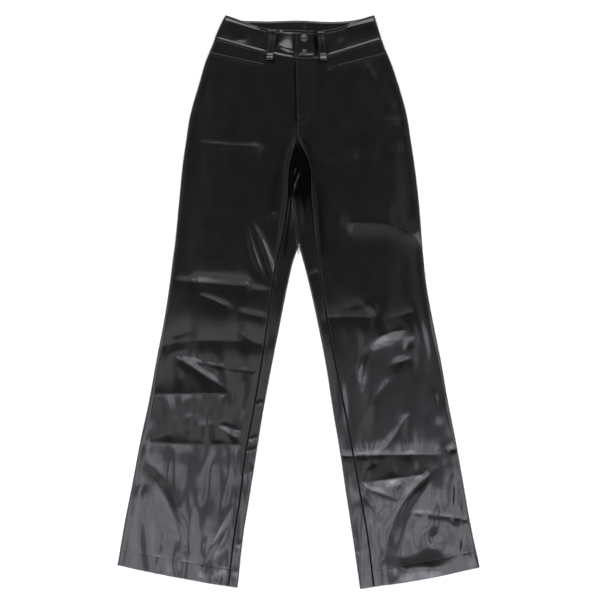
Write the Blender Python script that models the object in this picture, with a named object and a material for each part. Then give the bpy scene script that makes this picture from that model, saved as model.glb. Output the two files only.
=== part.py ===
"""Leather trousers laid flat with the front up: a high waistband with two snaps, a fly, two hip
pockets, belt loops and straight, slightly flared legs. Every piece of cloth is a thin wall.

Sizes are in millimetres until a mesh is made, which is in metres. +Y runs from the hems to the
waist, +X to the wearer's left, and +Z up from the surface that the back lies on. "Right" and
"left" are the wearer's. A level is the height on the lay at which a section meets the side fold.
"""

import math
from collections import namedtuple

import bpy
import numpy as np

METRES = 0.001

# Cloth and seams
WALL = 1.2
FACING_WALL = 1.0
BAND_WALL = 2.2
HEM_FOLD = 1.2
SEAM_GAP = 0.3

# Heights of the lay: two layers with folded edges, lifted at the waist by the back belt loops
LAYERS = 6.3
EDGE_RADIUS = LAYERS / 2
WAIST_LIFT = 2.7
LIFT_FROM = 395.0
LIFT_TO = 455.0
BAND_PROUD = 0.9
BAND_RADIUS = EDGE_RADIUS + BAND_PROUD
SWELL = 1.4
FRONT_EDGE_PROUD = 0.4
FRONT_EDGE_REACH = 16.0
STRIP_SINK = 0.6

# Levels that the pieces share
POCKET_LEVEL = 434.0
CROTCH_LEVEL = 313.7
FORK_LEVEL = 109.0
HEM_DEPTH = 31.0
HEM_BOW = 2.0
HEM_BOW_REACH = 150.0
FORK_OPENING = 6.0
VALLEY_FADE = 60.0
VALLEY_DEPTH = 2.8
VALLEY_SLOPE = 0.3

# Centre front, from the waist seam to the crotch
CENTRE_FRONT = {"level": np.array([313.7, 468.0]), "x": np.array([-1.7, -4.8])}
FLY_PROUD = 1.0
FLY_REACH = 34.0

# Seam of the back rise, where it shows between the legs
BACK_RISE = {
    "level": np.array([109.0, 125.0, 165.0, 205.0, 240.0, 266.0, 313.7]),
    "x": np.array([1.7, -0.6, -6.0, -9.2, -9.6, -6.0, -1.7]),
}

# One row for each section of a leg, from hem to waist. Up to the fork the inner point is the
# leg's inner fold, and above it the centre back. front_x is where the front panel ends.
SECTION_COLUMNS = ("level", "outer_x", "inner_x", "inner_y", "front_x")
RIGHT_LEG_SECTIONS = (
    (-504.0, -346.6, -115.8, -547.6, -133.8),
    (-418.6, -332.0, -105.8, -455.0, -123.1),
    (-341.8, -317.0, -93.0, -373.4, -110.8),
    (-265.0, -302.4, -79.8, -291.8, -100.8),
    (-188.2, -286.0, -66.6, -209.3, -85.4),
    (-111.4, -272.0, -51.2, -126.7, -71.4),
    (-34.6, -257.2, -34.8, -44.2, -59.5),
    (42.2, -245.6, -18.6, 37.4, -48.4),
    (82.0, -240.6, -8.4, 80.4, -41.2),
    (109.0, -237.0, 1.7, 109.0, -34.6),
    (195.8, -228.3, 3.9, 195.8, -20.0),
    (272.6, -220.6, 5.9, 272.6, -14.0),
    (313.7, -214.6, 7.0, 313.7, -1.7),
    (349.4, -209.2, 7.9, 349.4, -2.4),
    (426.2, -188.0, 9.9, 426.2, -4.0),
    (464.6, -176.4, 10.9, 464.6, -4.7),
    (491.5, -165.0, 11.6, 491.5, -4.8),
    (522.2, -153.2, 12.4, 522.2, -4.8),
    (551.0, -139.2, 13.1, 551.0, -4.8),
)
LEFT_LEG_SECTIONS = (
    (-508.4, 349.0, 118.9, -549.9, 145.5),
    (-418.6, 330.0, 105.4, -454.1, 133.8),
    (-341.8, 316.6, 93.0, -372.5, 119.6),
    (-265.0, 303.0, 80.8, -289.9, 105.2),
    (-188.2, 287.8, 67.0, -208.3, 89.7),
    (-111.4, 274.4, 54.4, -125.8, 73.0),
    (-34.6, 258.8, 38.6, -44.2, 57.8),
    (42.2, 245.6, 20.6, 37.4, 45.5),
    (109.0, 239.0, 1.7, 109.0, 33.6),
    (195.8, 232.0, 3.9, 195.8, 25.5),
    (272.6, 222.6, 5.9, 272.6, 18.5),
    (313.7, 216.4, 7.0, 313.7, -1.7),
    (349.4, 211.0, 7.9, 349.4, -2.4),
    (426.2, 190.0, 9.9, 426.2, -4.0),
    (464.6, 176.4, 10.9, 464.6, -4.7),
    (491.5, 165.0, 11.6, 491.5, -4.8),
    (522.2, 155.4, 12.4, 522.2, -4.8),
    (551.0, 146.6, 13.1, 551.0, -4.8),
)

# Edges that run across the waist, as heights over x
FRONT_BAND_SEAM = {
    "x": np.array([-159.0, -64.5, -6.7, 41.3, 59.3, 161.0]),
    "y": np.array([505.5, 480.0, 468.1, 468.1, 473.0, 504.0]),
}
FRONT_BAND_TOP = {
    "x": np.array([-139.2, -61.2, -6.7, 32.8, 79.3, 112.3, 146.6]),
    "y": np.array([551.0, 525.3, 522.0, 520.3, 527.0, 540.1, 551.0]),
}
BACK_BAND_SEAM = {
    "x": np.array([-159.0, -80.0, 13.0, 90.0, 161.0]),
    "y": np.array([505.5, 488.0, 483.0, 487.5, 504.0]),
}
BACK_BAND_TOP = {
    "x": np.array([-139.2, -123.8, -79.7, 13.1, 52.8, 102.3, 146.6]),
    "y": np.array([551.0, 544.4, 540.4, 541.2, 539.0, 541.2, 551.0]),
}
BAND_SIDES = {"seam": 505.0, "top": 551.0}
RIGHT_POCKET = {"x": np.array([-166.5, -64.5]), "y": np.array([480.0, 457.5]), "end_x": -64.0}
LEFT_POCKET = {"x": np.array([60.5, 168.0]), "y": np.array([451.8, 479.5]), "end_x": 60.0}
POCKET_UNDERLAP = 12.0

# Waistband lap: the left half lies on the right half from the opening edge
OPENING_X = -6.7
LAP_END_X = 26.0
LAP_CLEAR = 1.6
LAP_SLOPE = 11.0
LAP_LIFT = BAND_WALL + SEAM_GAP
CENTRE_BACK_X = 13.1

# Snaps on the waistband: centre, cap radius and height
SNAPS = (
    {"name": "snap_upper", "x": 11.5, "y": 506.0, "radius": 7.5, "height": 2.6},
    {"name": "snap_lower", "x": 12.0, "y": 479.5, "radius": 5.4, "height": 2.2},
)
SNAP_COLUMNS = ("radius", "height")
SNAP_PROFILE = (
    (0.92, 0.00),
    (1.00, 0.35),
    (0.95, 0.75),
    (0.80, 0.92),
    (0.62, 0.72),
    (0.35, 1.00),
)
SNAP_SIDES = 24

# Front belt loops, top to foot
LOOP_THICKNESS = 1.8
LOOP_BEVEL = 0.6
LOOP_BULGE = 1.8
LOOP_STEP_ABOVE_SEAM = 3.0
LOOP_STEP_LENGTH = 5.0
LOOP_STEP_DOWN = BAND_PROUD / 2
FRONT_LOOPS = (
    {"name": "belt_loop_front_right", "top": (-48.5, 521.5), "foot": (-54.5, 464.5),
     "top_width": 16.0, "foot_width": 12.0},
    {"name": "belt_loop_front_left", "top": (43.5, 520.0), "foot": (49.5, 463.5),
     "top_width": 13.0, "foot_width": 12.5},
)
BACK_LOOP_THICKNESS = 1.5
BACK_LOOP_WIDTH = 13.0
BACK_LOOPS = (
    {"name": "belt_loop_back_right", "x": -92.0, "top": 540.0, "foot": 483.0},
    {"name": "belt_loop_back_centre", "x": 13.1, "top": 540.0, "foot": 475.0},
    {"name": "belt_loop_back_left", "x": 104.0, "top": 540.0, "foot": 481.0},
)

# Zip behind the fly: a tape with its closed teeth as one ridge
ZIP_TOP = 466.0
ZIP_BOTTOM = 340.0
ZIP_TAPE_HALF_WIDTH = 13.0
ZIP_TAPE = 0.8
ZIP_TEETH_HALF_WIDTH = 3.0
ZIP_TEETH = 1.0

# Main creases of the front, one row each: a ridge (or a trough, where the rise is negative)
# from start to end, bowed sideways, with its own reach on the left and right of its line.
CREASE_COLUMNS = ("x0", "y0", "x1", "y1", "bow", "rise", "reach_left", "reach_right")
CREASES = (
    (-215.0, 310.0, -20.0, 291.0, -3.0, 1.2, 20.0, 9.0),
    (20.0, 291.0, 200.0, 296.0, 3.0, 1.2, 20.0, 9.0),
    (-90.0, 150.0, -52.0, 45.0, -7.0, 2.2, 9.0, 12.0),
    (-240.0, 46.0, -46.0, 24.0, 5.0, 2.8, 16.0, 7.0),
    (-200.0, 20.0, -112.0, -20.0, 2.0, 2.0, 14.0, 7.0),
    (-262.0, -80.0, -78.0, -76.0, 16.0, 3.0, 26.0, 16.0),
    (-266.0, -99.0, -122.0, -176.0, 8.0, 4.2, 14.0, 6.0),
    (-276.0, -179.0, -124.0, -178.0, 0.0, -1.8, 7.0, 9.0),
    (-292.0, -258.0, -146.0, -232.0, 4.0, 2.8, 8.0, 12.0),
    (-298.0, -274.0, -98.0, -276.0, 2.0, 3.6, 8.0, 18.0),
    (-296.0, -300.0, -208.0, -505.0, 14.0, 3.6, 10.0, 20.0),
    (-112.0, -368.0, -196.0, -520.0, -8.0, 3.8, 10.0, 22.0),
    (232.0, 0.0, 254.0, -124.0, 2.0, 2.4, 8.0, 14.0),
    (52.0, -30.0, 152.0, -27.0, 3.0, 2.6, 12.0, 7.0),
    (206.0, -60.0, 120.0, -160.0, -22.0, 3.0, 16.0, 10.0),
    (228.0, -200.0, 116.0, -236.0, 3.0, 2.8, 8.0, 12.0),
    (214.0, -212.0, 156.0, -294.0, 0.0, 3.6, 12.0, 8.0),
    (98.0, -293.0, 300.0, -291.0, 2.0, 4.2, 16.0, 8.0),
    (112.0, -348.0, 262.0, -328.0, 2.0, 2.8, 12.0, 10.0),
    (114.0, -354.0, 200.0, -382.0, 2.0, 2.4, 10.0, 8.0),
    (288.0, -302.0, 176.0, -500.0, -30.0, 4.6, 9.0, 22.0),
    (282.0, -330.0, 199.0, -492.0, -14.0, -1.8, 9.0, 9.0),
    (218.0, -400.0, 330.0, -419.0, 3.0, 2.8, 12.0, 8.0),
    (292.0, -420.0, 312.0, -520.0, 3.0, 2.4, 12.0, 16.0),
)
FLATTEST = -2.2
CREASE_FADE = 1.6

# Mesh steps
LEVEL_STEP = 0.02
WRAP_STEP = 0.002
FOLD_STEPS = 3
STRIP_STEPS = 2
BACK_STEPS = 6
FRONT_STEPS = 13
FRONT_BAND_STEPS = 14
BAND_ROWS = 5
LEG_ROWS = 34
TONGUE_ROWS = 9
HIP_ROWS = 6
HEAD_ROWS = 4
FACING_STEPS = 7
LOOP_ROWS = 9
ZIP_ROWS = 12
HEM_FOLD_END = 3.0
TONGUE_SHORT = 4.0
POCKET_END_ABOVE = 20.0
POCKET_END_WRAP = 0.008
EDGE_CORRECTIONS = 6
WELD_DIGITS = 5
SHARP_ANGLE = math.radians(40)


def columns(names, rows):
    """A table's columns by name, each as an array down its rows."""
    return dict(zip(names, np.array(rows, dtype=float).T))


def smoothstep(value):
    """An S curve from 0 to 1 as the value goes from 0 to 1."""
    value = np.clip(value, 0.0, 1.0)
    return value * value * (3.0 - 2.0 * value)


def smooth_curve(at, knots, values):
    """A curve through the knots: a cubic in each span, with the chord slope at each knot."""
    slopes = np.gradient(values, knots)
    span = np.clip(np.searchsorted(knots, at) - 1, 0, len(knots) - 2)
    width = knots[span + 1] - knots[span]
    t = (at - knots[span]) / width
    start_part = (1 + 2 * t) * (1 - t) ** 2 * values[span] + t * (1 - t) ** 2 * width * slopes[span]
    end_part = t * t * (3 - 2 * t) * values[span + 1] + t * t * (t - 1) * width * slopes[span + 1]
    return start_part + end_part


RIGHT_LEG = columns(SECTION_COLUMNS, RIGHT_LEG_SECTIONS)
LEFT_LEG = columns(SECTION_COLUMNS, LEFT_LEG_SECTIONS)
CREASE_TABLE = columns(CREASE_COLUMNS, CREASES)
SNAP_TABLE = columns(SNAP_COLUMNS, SNAP_PROFILE)

Section = namedtuple("Section", "outer_x run climb length front_end")

# The part's origin is the middle of the whole lay
ORIGIN_X = (RIGHT_LEG["outer_x"].min() + LEFT_LEG["outer_x"].max()) / 2
ORIGIN_Y = (LEFT_LEG["inner_y"].min() + BAND_SIDES["top"]) / 2


def section(leg, level):
    """The section of a leg at a level: its outer point, its direction (run and climb), the length
    to the inner fold or the centre back, and the distance along it at which the front ends."""
    outer_x = smooth_curve(level, leg["level"], leg["outer_x"])
    legs = leg["level"] <= FORK_LEVEL
    fold_x = smooth_curve(level, leg["level"][legs], leg["inner_x"][legs])
    fold_y = smooth_curve(level, leg["level"][legs], leg["inner_y"][legs])
    seat = leg["level"] >= FORK_LEVEL
    centre_back_x = np.interp(level, leg["level"][seat], leg["inner_x"][seat])
    inner_x = np.where(level < FORK_LEVEL, fold_x, centre_back_x)
    inner_y = np.where(level < FORK_LEVEL, fold_y, level)
    below = leg["level"] <= CROTCH_LEVEL
    inseam_x = smooth_curve(level, leg["level"][below], leg["front_x"][below])
    centre_x = np.interp(level, CENTRE_FRONT["level"], CENTRE_FRONT["x"])
    front_x = np.where(level < CROTCH_LEVEL, inseam_x, centre_x)
    length = np.hypot(inner_x - outer_x, inner_y - level)
    run = (inner_x - outer_x) / length
    climb = (inner_y - level) / length
    front_end = (front_x - outer_x) / run - SEAM_GAP / 2
    return Section(outer_x, run, climb, length - SEAM_GAP / 2, front_end)


def lay_point(leg, level, distance):
    """The point of a section at a distance from its outer point. The sections bow towards the
    hem, a little more the nearer they are to it."""
    cut = section(leg, level)
    share = np.clip(distance / cut.length, 0.0, 1.0)
    near_hem = smoothstep(1 - (level - leg["level"][0]) / HEM_BOW_REACH)
    bow = HEM_BOW * near_hem * 4 * share * (1 - share)
    return cut.outer_x + cut.run * distance, level + cut.climb * distance - bow


def lift(y):
    """How far the lay is lifted at height y by the belt loops under the waist."""
    return WAIST_LIFT * smoothstep((y - LIFT_FROM) / (LIFT_TO - LIFT_FROM))


def middle(y):
    """Height of the folded edges, half way between the two layers."""
    return EDGE_RADIUS + lift(y)


def crease_height(x, y):
    """Sum of the creases: across its line each one is a bell with two reaches, and along it
    the bell dies away at both ends."""
    height = np.zeros_like(x)
    for x0, y0, x1, y1, bow, rise, reach_left, reach_right in zip(*CREASE_TABLE.values()):
        length = math.hypot(x1 - x0, y1 - y0)
        run = (x1 - x0) / length
        climb = (y1 - y0) / length
        along = ((x - x0) * run + (y - y0) * climb) / length * 2 - 1
        inside = np.clip(1 - along * along, 0.0, 1.0)
        aside = (y - y0) * run - (x - x0) * climb - bow * inside
        reach = np.where(aside > 0, reach_left, reach_right)
        height += rise * smoothstep(inside * CREASE_FADE) * np.exp(-((aside / reach) ** 2))
    return height


def front_height(leg, level, distance):
    """Height of the front layer's outer face at a distance from the side fold."""
    x, y = lay_point(leg, level, distance)
    share = np.clip(distance / section(leg, level).length, 0.0, 1.0)
    swell = SWELL * np.sin(math.pi * share) * (1 - lift(y) / WAIST_LIFT)
    relief = np.maximum(swell + crease_height(x, y), FLATTEST)
    return LAYERS + lift(y) + relief


def front_surface(leg, overlap=0.0):
    """Outer face of a front panel. Wrap 0 to 1 is the side fold, a quarter of a round from the
    side seam to the top, and wrap 1 to 2 runs on across the leg to the panel's inner edge."""

    def surface(level, wrap):
        front_end = section(leg, level).front_end
        angle = np.clip(wrap, -1.0, 1.0) * math.pi / 2
        across = EDGE_RADIUS + (wrap - 1) * (front_end - EDGE_RADIUS)
        distance = np.where(wrap < 1, EDGE_RADIUS * (1 - np.cos(angle)), across)
        roundness = np.where(wrap < 1, np.sin(angle), 1.0)
        x, y = lay_point(leg, level, distance)
        to_edge = front_end - distance
        proud = FRONT_EDGE_PROUD * smoothstep(1 - to_edge / FRONT_EDGE_REACH)
        lap = overlap * smoothstep(1 - to_edge / FLY_REACH)
        lap = lap * smoothstep((level - CROTCH_LEVEL) / FLY_REACH)
        top = front_height(leg, level, distance) + proud + lap
        z = middle(y) + (top - middle(y)) * roundness
        return np.stack([x, y, z], axis=-1)

    return surface


def back_surface(leg):
    """Outer face of a back panel. Wrap 0 to 1 is the lower half of the side fold, 1 to 2 the
    flat underside, 2 to 4 the inner fold, and 4 to 5 the strip on top as far as the inseam.
    Above the fork there is no inner fold: the underside ends at the centre back and the strip
    is a tongue that ends at the back rise and sinks into a valley between the two fronts."""

    def surface(level, wrap):
        cut = section(leg, level)
        opened = smoothstep((level - FORK_LEVEL) / FORK_OPENING)
        rise_x = np.interp(level, BACK_RISE["level"], BACK_RISE["x"])
        rise = (rise_x - cut.outer_x) / cut.run - SEAM_GAP / 2
        inner_start = cut.length - EDGE_RADIUS
        under_end = inner_start + EDGE_RADIUS * opened
        strip_start = inner_start + (rise - inner_start) * opened
        strip_end = cut.front_end + SEAM_GAP
        side_angle = np.clip(wrap, -1.0, 1.0) * math.pi / 2
        fold_angle = np.clip(wrap - 2, 0.0, 2.0) * math.pi / 2
        on_strip = np.clip(wrap - 4, 0.0, 2.0)
        distance = np.select(
            [wrap < 1, wrap <= 2, wrap < 4],
            [
                EDGE_RADIUS * (1 - np.cos(side_angle)),
                EDGE_RADIUS + (wrap - 1) * (under_end - EDGE_RADIUS),
                inner_start + EDGE_RADIUS * np.sin(fold_angle),
            ],
            strip_start + on_strip * (strip_end - strip_start),
        )
        x, y = lay_point(leg, level, distance)
        half_width = np.abs(strip_start - strip_end)
        depth = np.minimum(VALLEY_DEPTH, VALLEY_SLOPE * half_width)
        depth = depth * smoothstep((level - FORK_LEVEL) / VALLEY_FADE)
        sink = STRIP_SINK * smoothstep(on_strip) + depth * smoothstep(1 - on_strip)
        top = front_height(leg, level, distance) - sink
        underside = lift(y)
        upper = middle(y) + (top - middle(y)) * -np.cos(fold_angle)
        lower = middle(y) + (underside - middle(y)) * np.cos(fold_angle)
        fold_z = np.where(fold_angle > math.pi / 2, upper, lower)
        side_z = middle(y) + (underside - middle(y)) * np.sin(side_angle)
        z = np.select([wrap < 1, wrap <= 2, wrap < 4], [side_z, underside, fold_z], top)
        return np.stack([x, y, z], axis=-1)

    return surface


def band_surface(leg, seam, top, end_x, upper, lapped=False):
    """Outer face of a waistband piece. The level goes from 0 at its seam to 1 at its top edge,
    and the wrap as on a front panel, from the side seam to the band's end."""

    def surface(level, wrap):
        side_y = BAND_SIDES["seam"] + level * (BAND_SIDES["top"] - BAND_SIDES["seam"])
        outer_x = smooth_curve(side_y, leg["level"], leg["outer_x"])
        inward = -np.sign(outer_x)
        length = np.abs(end_x - outer_x)
        angle = np.clip(wrap, -1.0, 1.0) * math.pi / 2
        across = BAND_RADIUS + (wrap - 1) * (length - BAND_RADIUS)
        distance = np.where(wrap < 1, BAND_RADIUS * (1 - np.cos(angle)), across)
        roundness = np.where(wrap < 1, np.sin(angle), 1.0)
        x = outer_x + inward * distance
        seam_y = smooth_curve(x, seam["x"], seam["y"]) + SEAM_GAP / 2
        top_y = smooth_curve(x, top["x"], top["y"])
        y = seam_y + level * (top_y - seam_y)
        face = middle(y) + upper * BAND_RADIUS * roundness
        if lapped:
            past_lap = (x - LAP_END_X - LAP_CLEAR) / LAP_SLOPE
            face = face + LAP_LIFT * (1 - smoothstep(past_lap))
        return np.stack([x, y, face], axis=-1)

    return surface


def patch(surface, levels, wraps, thickness, square_to_y=False):
    """A grid of points on a surface with their normals, found from small steps both ways.
    Levels may differ from column to column, as a grid of their own. Near the waist seam the
    normals are kept square to Y, so that the pieces it joins stay edge to edge."""
    if levels.ndim == 1:
        levels = np.repeat(levels[:, None], len(wraps), axis=1)
    wraps = np.broadcast_to(wraps, levels.shape)
    up = surface(levels + LEVEL_STEP, wraps) - surface(levels - LEVEL_STEP, wraps)
    ahead = np.minimum(wraps + WRAP_STEP, wraps.max(axis=1, keepdims=True))
    behind = np.maximum(wraps - WRAP_STEP, wraps.min(axis=1, keepdims=True))
    across = surface(levels, ahead) - surface(levels, behind)
    normals = np.cross(across, up)
    if square_to_y:
        normals[..., 1] = 0.0
    normals /= np.linalg.norm(normals, axis=-1, keepdims=True)
    thickness = np.broadcast_to(thickness, levels.shape)
    return surface(levels, wraps), normals, thickness


def grid_quads(index):
    """The quads of a grid of point numbers, a row each."""
    corners = (index[:-1, :-1], index[:-1, 1:], index[1:, 1:], index[1:, :-1])
    return np.stack([corner.ravel() for corner in corners], axis=1)


def wall(name, patches, material, outward):
    """A closed wall: the patches are joined where they share points, and their outer face is
    moved in along its normals by the thickness and joined to it round every free edge.
    Outward is +1 or -1 and says which way the patches' normals point."""
    points = np.concatenate([points.reshape(-1, 3) for points, normals, thickness in patches])
    normals = np.concatenate([normals.reshape(-1, 3) for points, normals, thickness in patches])
    depths = np.concatenate([thickness.ravel() for points, normals, thickness in patches])
    unique, first, index = np.unique(
        np.round(points, WELD_DIGITS), axis=0, return_index=True, return_inverse=True
    )
    index = index.ravel()
    summed = np.zeros_like(unique)
    np.add.at(summed, index, normals * outward)
    summed /= np.linalg.norm(summed, axis=1, keepdims=True)
    outer = points[first]
    inner = outer - summed * depths[first][:, None]
    quads = []
    start = 0
    for patch_points, patch_normals, patch_thickness in patches:
        count = patch_thickness.size
        quads.append(grid_quads(index[start:start + count].reshape(patch_thickness.shape)))
        start += count
    quads = np.concatenate(quads)
    if outward < 0:
        quads = quads[:, ::-1]
    edges = np.stack([quads, np.roll(quads, -1, axis=1)], axis=-1).reshape(-1, 2)
    size = len(unique)
    forward = edges[:, 0] * size + edges[:, 1]
    backward = edges[:, 1] * size + edges[:, 0]
    free = edges[~np.isin(forward, backward)]
    sides = np.stack([free[:, 1], free[:, 0], free[:, 0] + size, free[:, 1] + size], axis=1)
    faces = np.concatenate([quads, quads[:, ::-1] + size, sides])
    return add_object(name, np.concatenate([outer, inner]), faces.tolist(), material)


def add_object(name, points, faces, material):
    """An object from points in millimetres, with the part's origin under its middle."""
    placed = (points - np.array([ORIGIN_X, ORIGIN_Y, 0.0])) * METRES
    mesh = bpy.data.meshes.new(name)
    mesh.from_pydata(placed.tolist(), [], faces)
    mesh.validate()
    mesh.materials.append(material)
    mesh.shade_smooth()
    mesh.set_sharp_from_angle(angle=SHARP_ANGLE)
    item = bpy.data.objects.new(name, mesh)
    bpy.context.scene.collection.objects.link(item)
    return item


def loft(name, sections, material):
    """A closed solid through rings of points, with a face over each end ring."""
    rings, count = sections.shape[:2]
    index = np.arange(rings * count).reshape(rings, count)
    around = np.concatenate([index, index[:, :1]], axis=1)
    faces = grid_quads(around).tolist()
    faces.append(index[0, ::-1].tolist())
    faces.append(index[-1].tolist())
    return add_object(name, sections.reshape(-1, 3), faces, material)


def cloth_material(name, colour, roughness, coat):
    """A plain finish for one kind of material."""
    material = bpy.data.materials.new(name)
    material.use_nodes = True
    shader = material.node_tree.nodes["Principled BSDF"]
    shader.inputs["Base Color"].default_value = (*colour, 1.0)
    shader.inputs["Roughness"].default_value = roughness
    shader.inputs["Coat Weight"].default_value = coat
    return material


def metal_material(name, colour, roughness):
    """A plain metal finish."""
    material = cloth_material(name, colour, roughness, 0.0)
    material.node_tree.nodes["Principled BSDF"].inputs["Metallic"].default_value = 1.0
    return material


def leg_levels(leg):
    """Levels of the rows that a leg's panels share, from its hem to the pocket level: a row at
    the hem fold's stitches, close rows on the creased part, wider ones above the fork."""
    hem = leg["level"][0]
    turned = hem + np.array([0.0, HEM_DEPTH, HEM_DEPTH + HEM_FOLD_END])
    lower = np.linspace(turned[-1], FORK_LEVEL, LEG_ROWS)[1:]
    fork = np.array([FORK_LEVEL + FORK_OPENING])
    upper = np.linspace(fork[-1], CROTCH_LEVEL - TONGUE_SHORT, TONGUE_ROWS)[1:]
    top = np.linspace(CROTCH_LEVEL, POCKET_LEVEL, HIP_ROWS)
    return np.concatenate([turned, lower, fork, upper, top])


def hem_thickness(leg, levels):
    """The wall's thickness at each level: doubled where the hem is turned up inside."""
    turned = levels < leg["level"][0] + HEM_DEPTH + HEM_FOLD_END / 2
    return np.where(turned, WALL + HEM_FOLD, WALL)[:, None]


def fold_wraps(radius, steps=FOLD_STEPS):
    """Wraps round a quarter of a folded edge, starting half a seam gap from its middle."""
    seam_wrap = math.asin(SEAM_GAP / 2 / radius) / (math.pi / 2)
    return np.linspace(seam_wrap, 1.0, steps + 1)


def level_at(wraps, surface, edge):
    """The levels at which each column of a surface meets an edge, found by a few corrections."""
    levels = np.full(len(wraps), POCKET_LEVEL)
    for correction in range(EDGE_CORRECTIONS):
        reached = surface(levels, wraps)
        levels = levels + edge(reached[:, 0]) - reached[:, 1]
    return levels


def seam_edge(seam):
    """The panels' edge at a waist seam, as heights over x: half a seam gap below the seam."""
    return lambda x: smooth_curve(x, seam["x"], seam["y"]) - SEAM_GAP / 2


def pocket_edge(pocket, below=0.0):
    """A pocket's opening edge, or a line below it, as heights over x."""
    return lambda x: np.interp(x, pocket["x"], pocket["y"]) - below


def wrap_at(leg, pocket, past=0.0):
    """The wrap of a front at which its pocket opening ends, or a distance past the end."""
    cut = section(leg, POCKET_LEVEL + POCKET_END_ABOVE)
    distance = abs(pocket["end_x"] - cut.outer_x) + past
    return 1 + (distance - EDGE_RADIUS) / (cut.front_end - EDGE_RADIUS)


def front_panel(leg, name, pocket, fly_lap, leather):
    """A front: the leg from the hem up, then a few rows that spread to its cut top edge, the
    waist seam in the middle and the pocket opening at the side."""
    outward = 1 if leg is RIGHT_LEG else -1
    surface = front_surface(leg, fly_lap)
    side = fold_wraps(EDGE_RADIUS)
    across = np.linspace(1.0, 2.0, FRONT_STEPS + 1)[1:]
    wraps = np.concatenate([side, across])
    levels = leg_levels(leg)
    body = patch(surface, levels, wraps, hem_thickness(leg, levels))

    pocket_wrap = wrap_at(leg, pocket)
    mouth_columns = int(np.sum(across < pocket_wrap))
    at_mouth = np.linspace(1.0, pocket_wrap, mouth_columns + 1)[1:]
    at_seam = np.linspace(pocket_wrap + POCKET_END_WRAP, 2.0, len(across) - mouth_columns)
    over_mouth = np.concatenate([side, at_mouth])
    top_wraps = np.concatenate([over_mouth, at_seam])
    top_levels = np.concatenate([
        level_at(over_mouth, surface, pocket_edge(pocket)),
        level_at(at_seam, surface, seam_edge(FRONT_BAND_SEAM)),
    ])
    share = np.linspace(0.0, 1.0, HEAD_ROWS)[:, None]
    rows = POCKET_LEVEL + share * (top_levels - POCKET_LEVEL)
    columns_at = wraps + share * (top_wraps - wraps)
    head = patch(surface, rows, columns_at, WALL, square_to_y=True)
    return wall(name, [body, head], leather, outward)


def back_panel(leg, name, leather):
    """A back: the leg's wrap from the hem to the fork, then the underside up to the waist and
    the tongue up to the crotch, with the slit of the back rise between them."""
    outward = -1 if leg is RIGHT_LEG else 1
    surface = back_surface(leg)
    side = fold_wraps(EDGE_RADIUS)
    under = np.linspace(1.0, 2.0, BACK_STEPS + 1)[1:]
    fold = np.linspace(2.0, 4.0, 2 * FOLD_STEPS + 1)[1:]
    strip = np.linspace(4.0, 5.0, STRIP_STEPS + 1)[1:]
    beneath = np.concatenate([side, under])
    around = np.concatenate([beneath, fold, strip])
    levels = leg_levels(leg)
    lower = levels[levels <= FORK_LEVEL]
    upper = levels[levels >= FORK_LEVEL]
    tongue = upper[upper < CROTCH_LEVEL]
    legs = patch(surface, lower, around, hem_thickness(leg, lower))
    seat = patch(surface, upper, beneath, WALL)
    crotch = patch(surface, tongue, np.concatenate([fold[-1:], strip]), WALL)

    top_levels = level_at(beneath, surface, seam_edge(BACK_BAND_SEAM))
    share = np.linspace(0.0, 1.0, HEAD_ROWS)[:, None]
    rows = POCKET_LEVEL + share * (top_levels - POCKET_LEVEL)
    yoke = patch(surface, rows, beneath, WALL, square_to_y=True)
    return wall(name, [legs, seat, crotch, yoke], leather, outward)


def pocket_facing(leg, name, pocket, leather):
    """The facing in a pocket opening: the front's own surface, moved in by a wall and a gap,
    from the waist seam to below the opening edge."""
    outward = 1 if leg is RIGHT_LEG else -1
    surface = front_surface(leg)
    end_wrap = wrap_at(leg, pocket, POCKET_UNDERLAP)
    across = np.linspace(1.0, end_wrap, FACING_STEPS + 1)[1:]
    wraps = np.concatenate([fold_wraps(EDGE_RADIUS), across])
    seam_levels = level_at(wraps, surface, seam_edge(FRONT_BAND_SEAM))
    foot_levels = level_at(wraps, surface, pocket_edge(pocket, POCKET_UNDERLAP))
    share = np.linspace(0.0, 1.0, HEAD_ROWS)[:, None]
    rows = foot_levels + share * (seam_levels - foot_levels)
    points, normals, thickness = patch(surface, rows, wraps, FACING_WALL, square_to_y=True)
    sunk = points - normals * outward * (WALL + SEAM_GAP)
    return wall(name, [(sunk, normals, thickness)], leather, outward)


def waistband_piece(name, surface, outward, steps, leather):
    """One piece of waistband, from its side seam to its end."""
    wraps = np.concatenate([fold_wraps(BAND_RADIUS), np.linspace(1.0, 2.0, steps + 1)[1:]])
    levels = np.linspace(0.0, 1.0, BAND_ROWS)
    band = patch(surface, levels, wraps, BAND_WALL, square_to_y=True)
    return wall(name, [band], leather, outward)


def waistband(leather):
    """The band's four pieces: two fronts, the left lapped on the right, and two backs."""
    gap = SEAM_GAP / 2
    fronts = (
        ("waistband_front_right", RIGHT_LEG, LAP_END_X, False, 1),
        ("waistband_front_left", LEFT_LEG, OPENING_X, True, -1),
    )
    for name, leg, end_x, lapped, outward in fronts:
        surface = band_surface(leg, FRONT_BAND_SEAM, FRONT_BAND_TOP, end_x, 1, lapped)
        waistband_piece(name, surface, outward, FRONT_BAND_STEPS, leather)
    backs = (
        ("waistband_back_right", RIGHT_LEG, CENTRE_BACK_X - gap, -1),
        ("waistband_back_left", LEFT_LEG, CENTRE_BACK_X + gap, 1),
    )
    for name, leg, end_x, outward in backs:
        surface = band_surface(leg, BACK_BAND_SEAM, BACK_BAND_TOP, end_x, -1)
        waistband_piece(name, surface, outward, BACK_STEPS, leather)


def band_face(x, y):
    """Height of the front waistband's outer face at a point."""
    lapped = (x > OPENING_X) * (1 - smoothstep((x - LAP_END_X - LAP_CLEAR) / LAP_SLOPE))
    return middle(y) + BAND_RADIUS + LAP_LIFT * lapped


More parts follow.
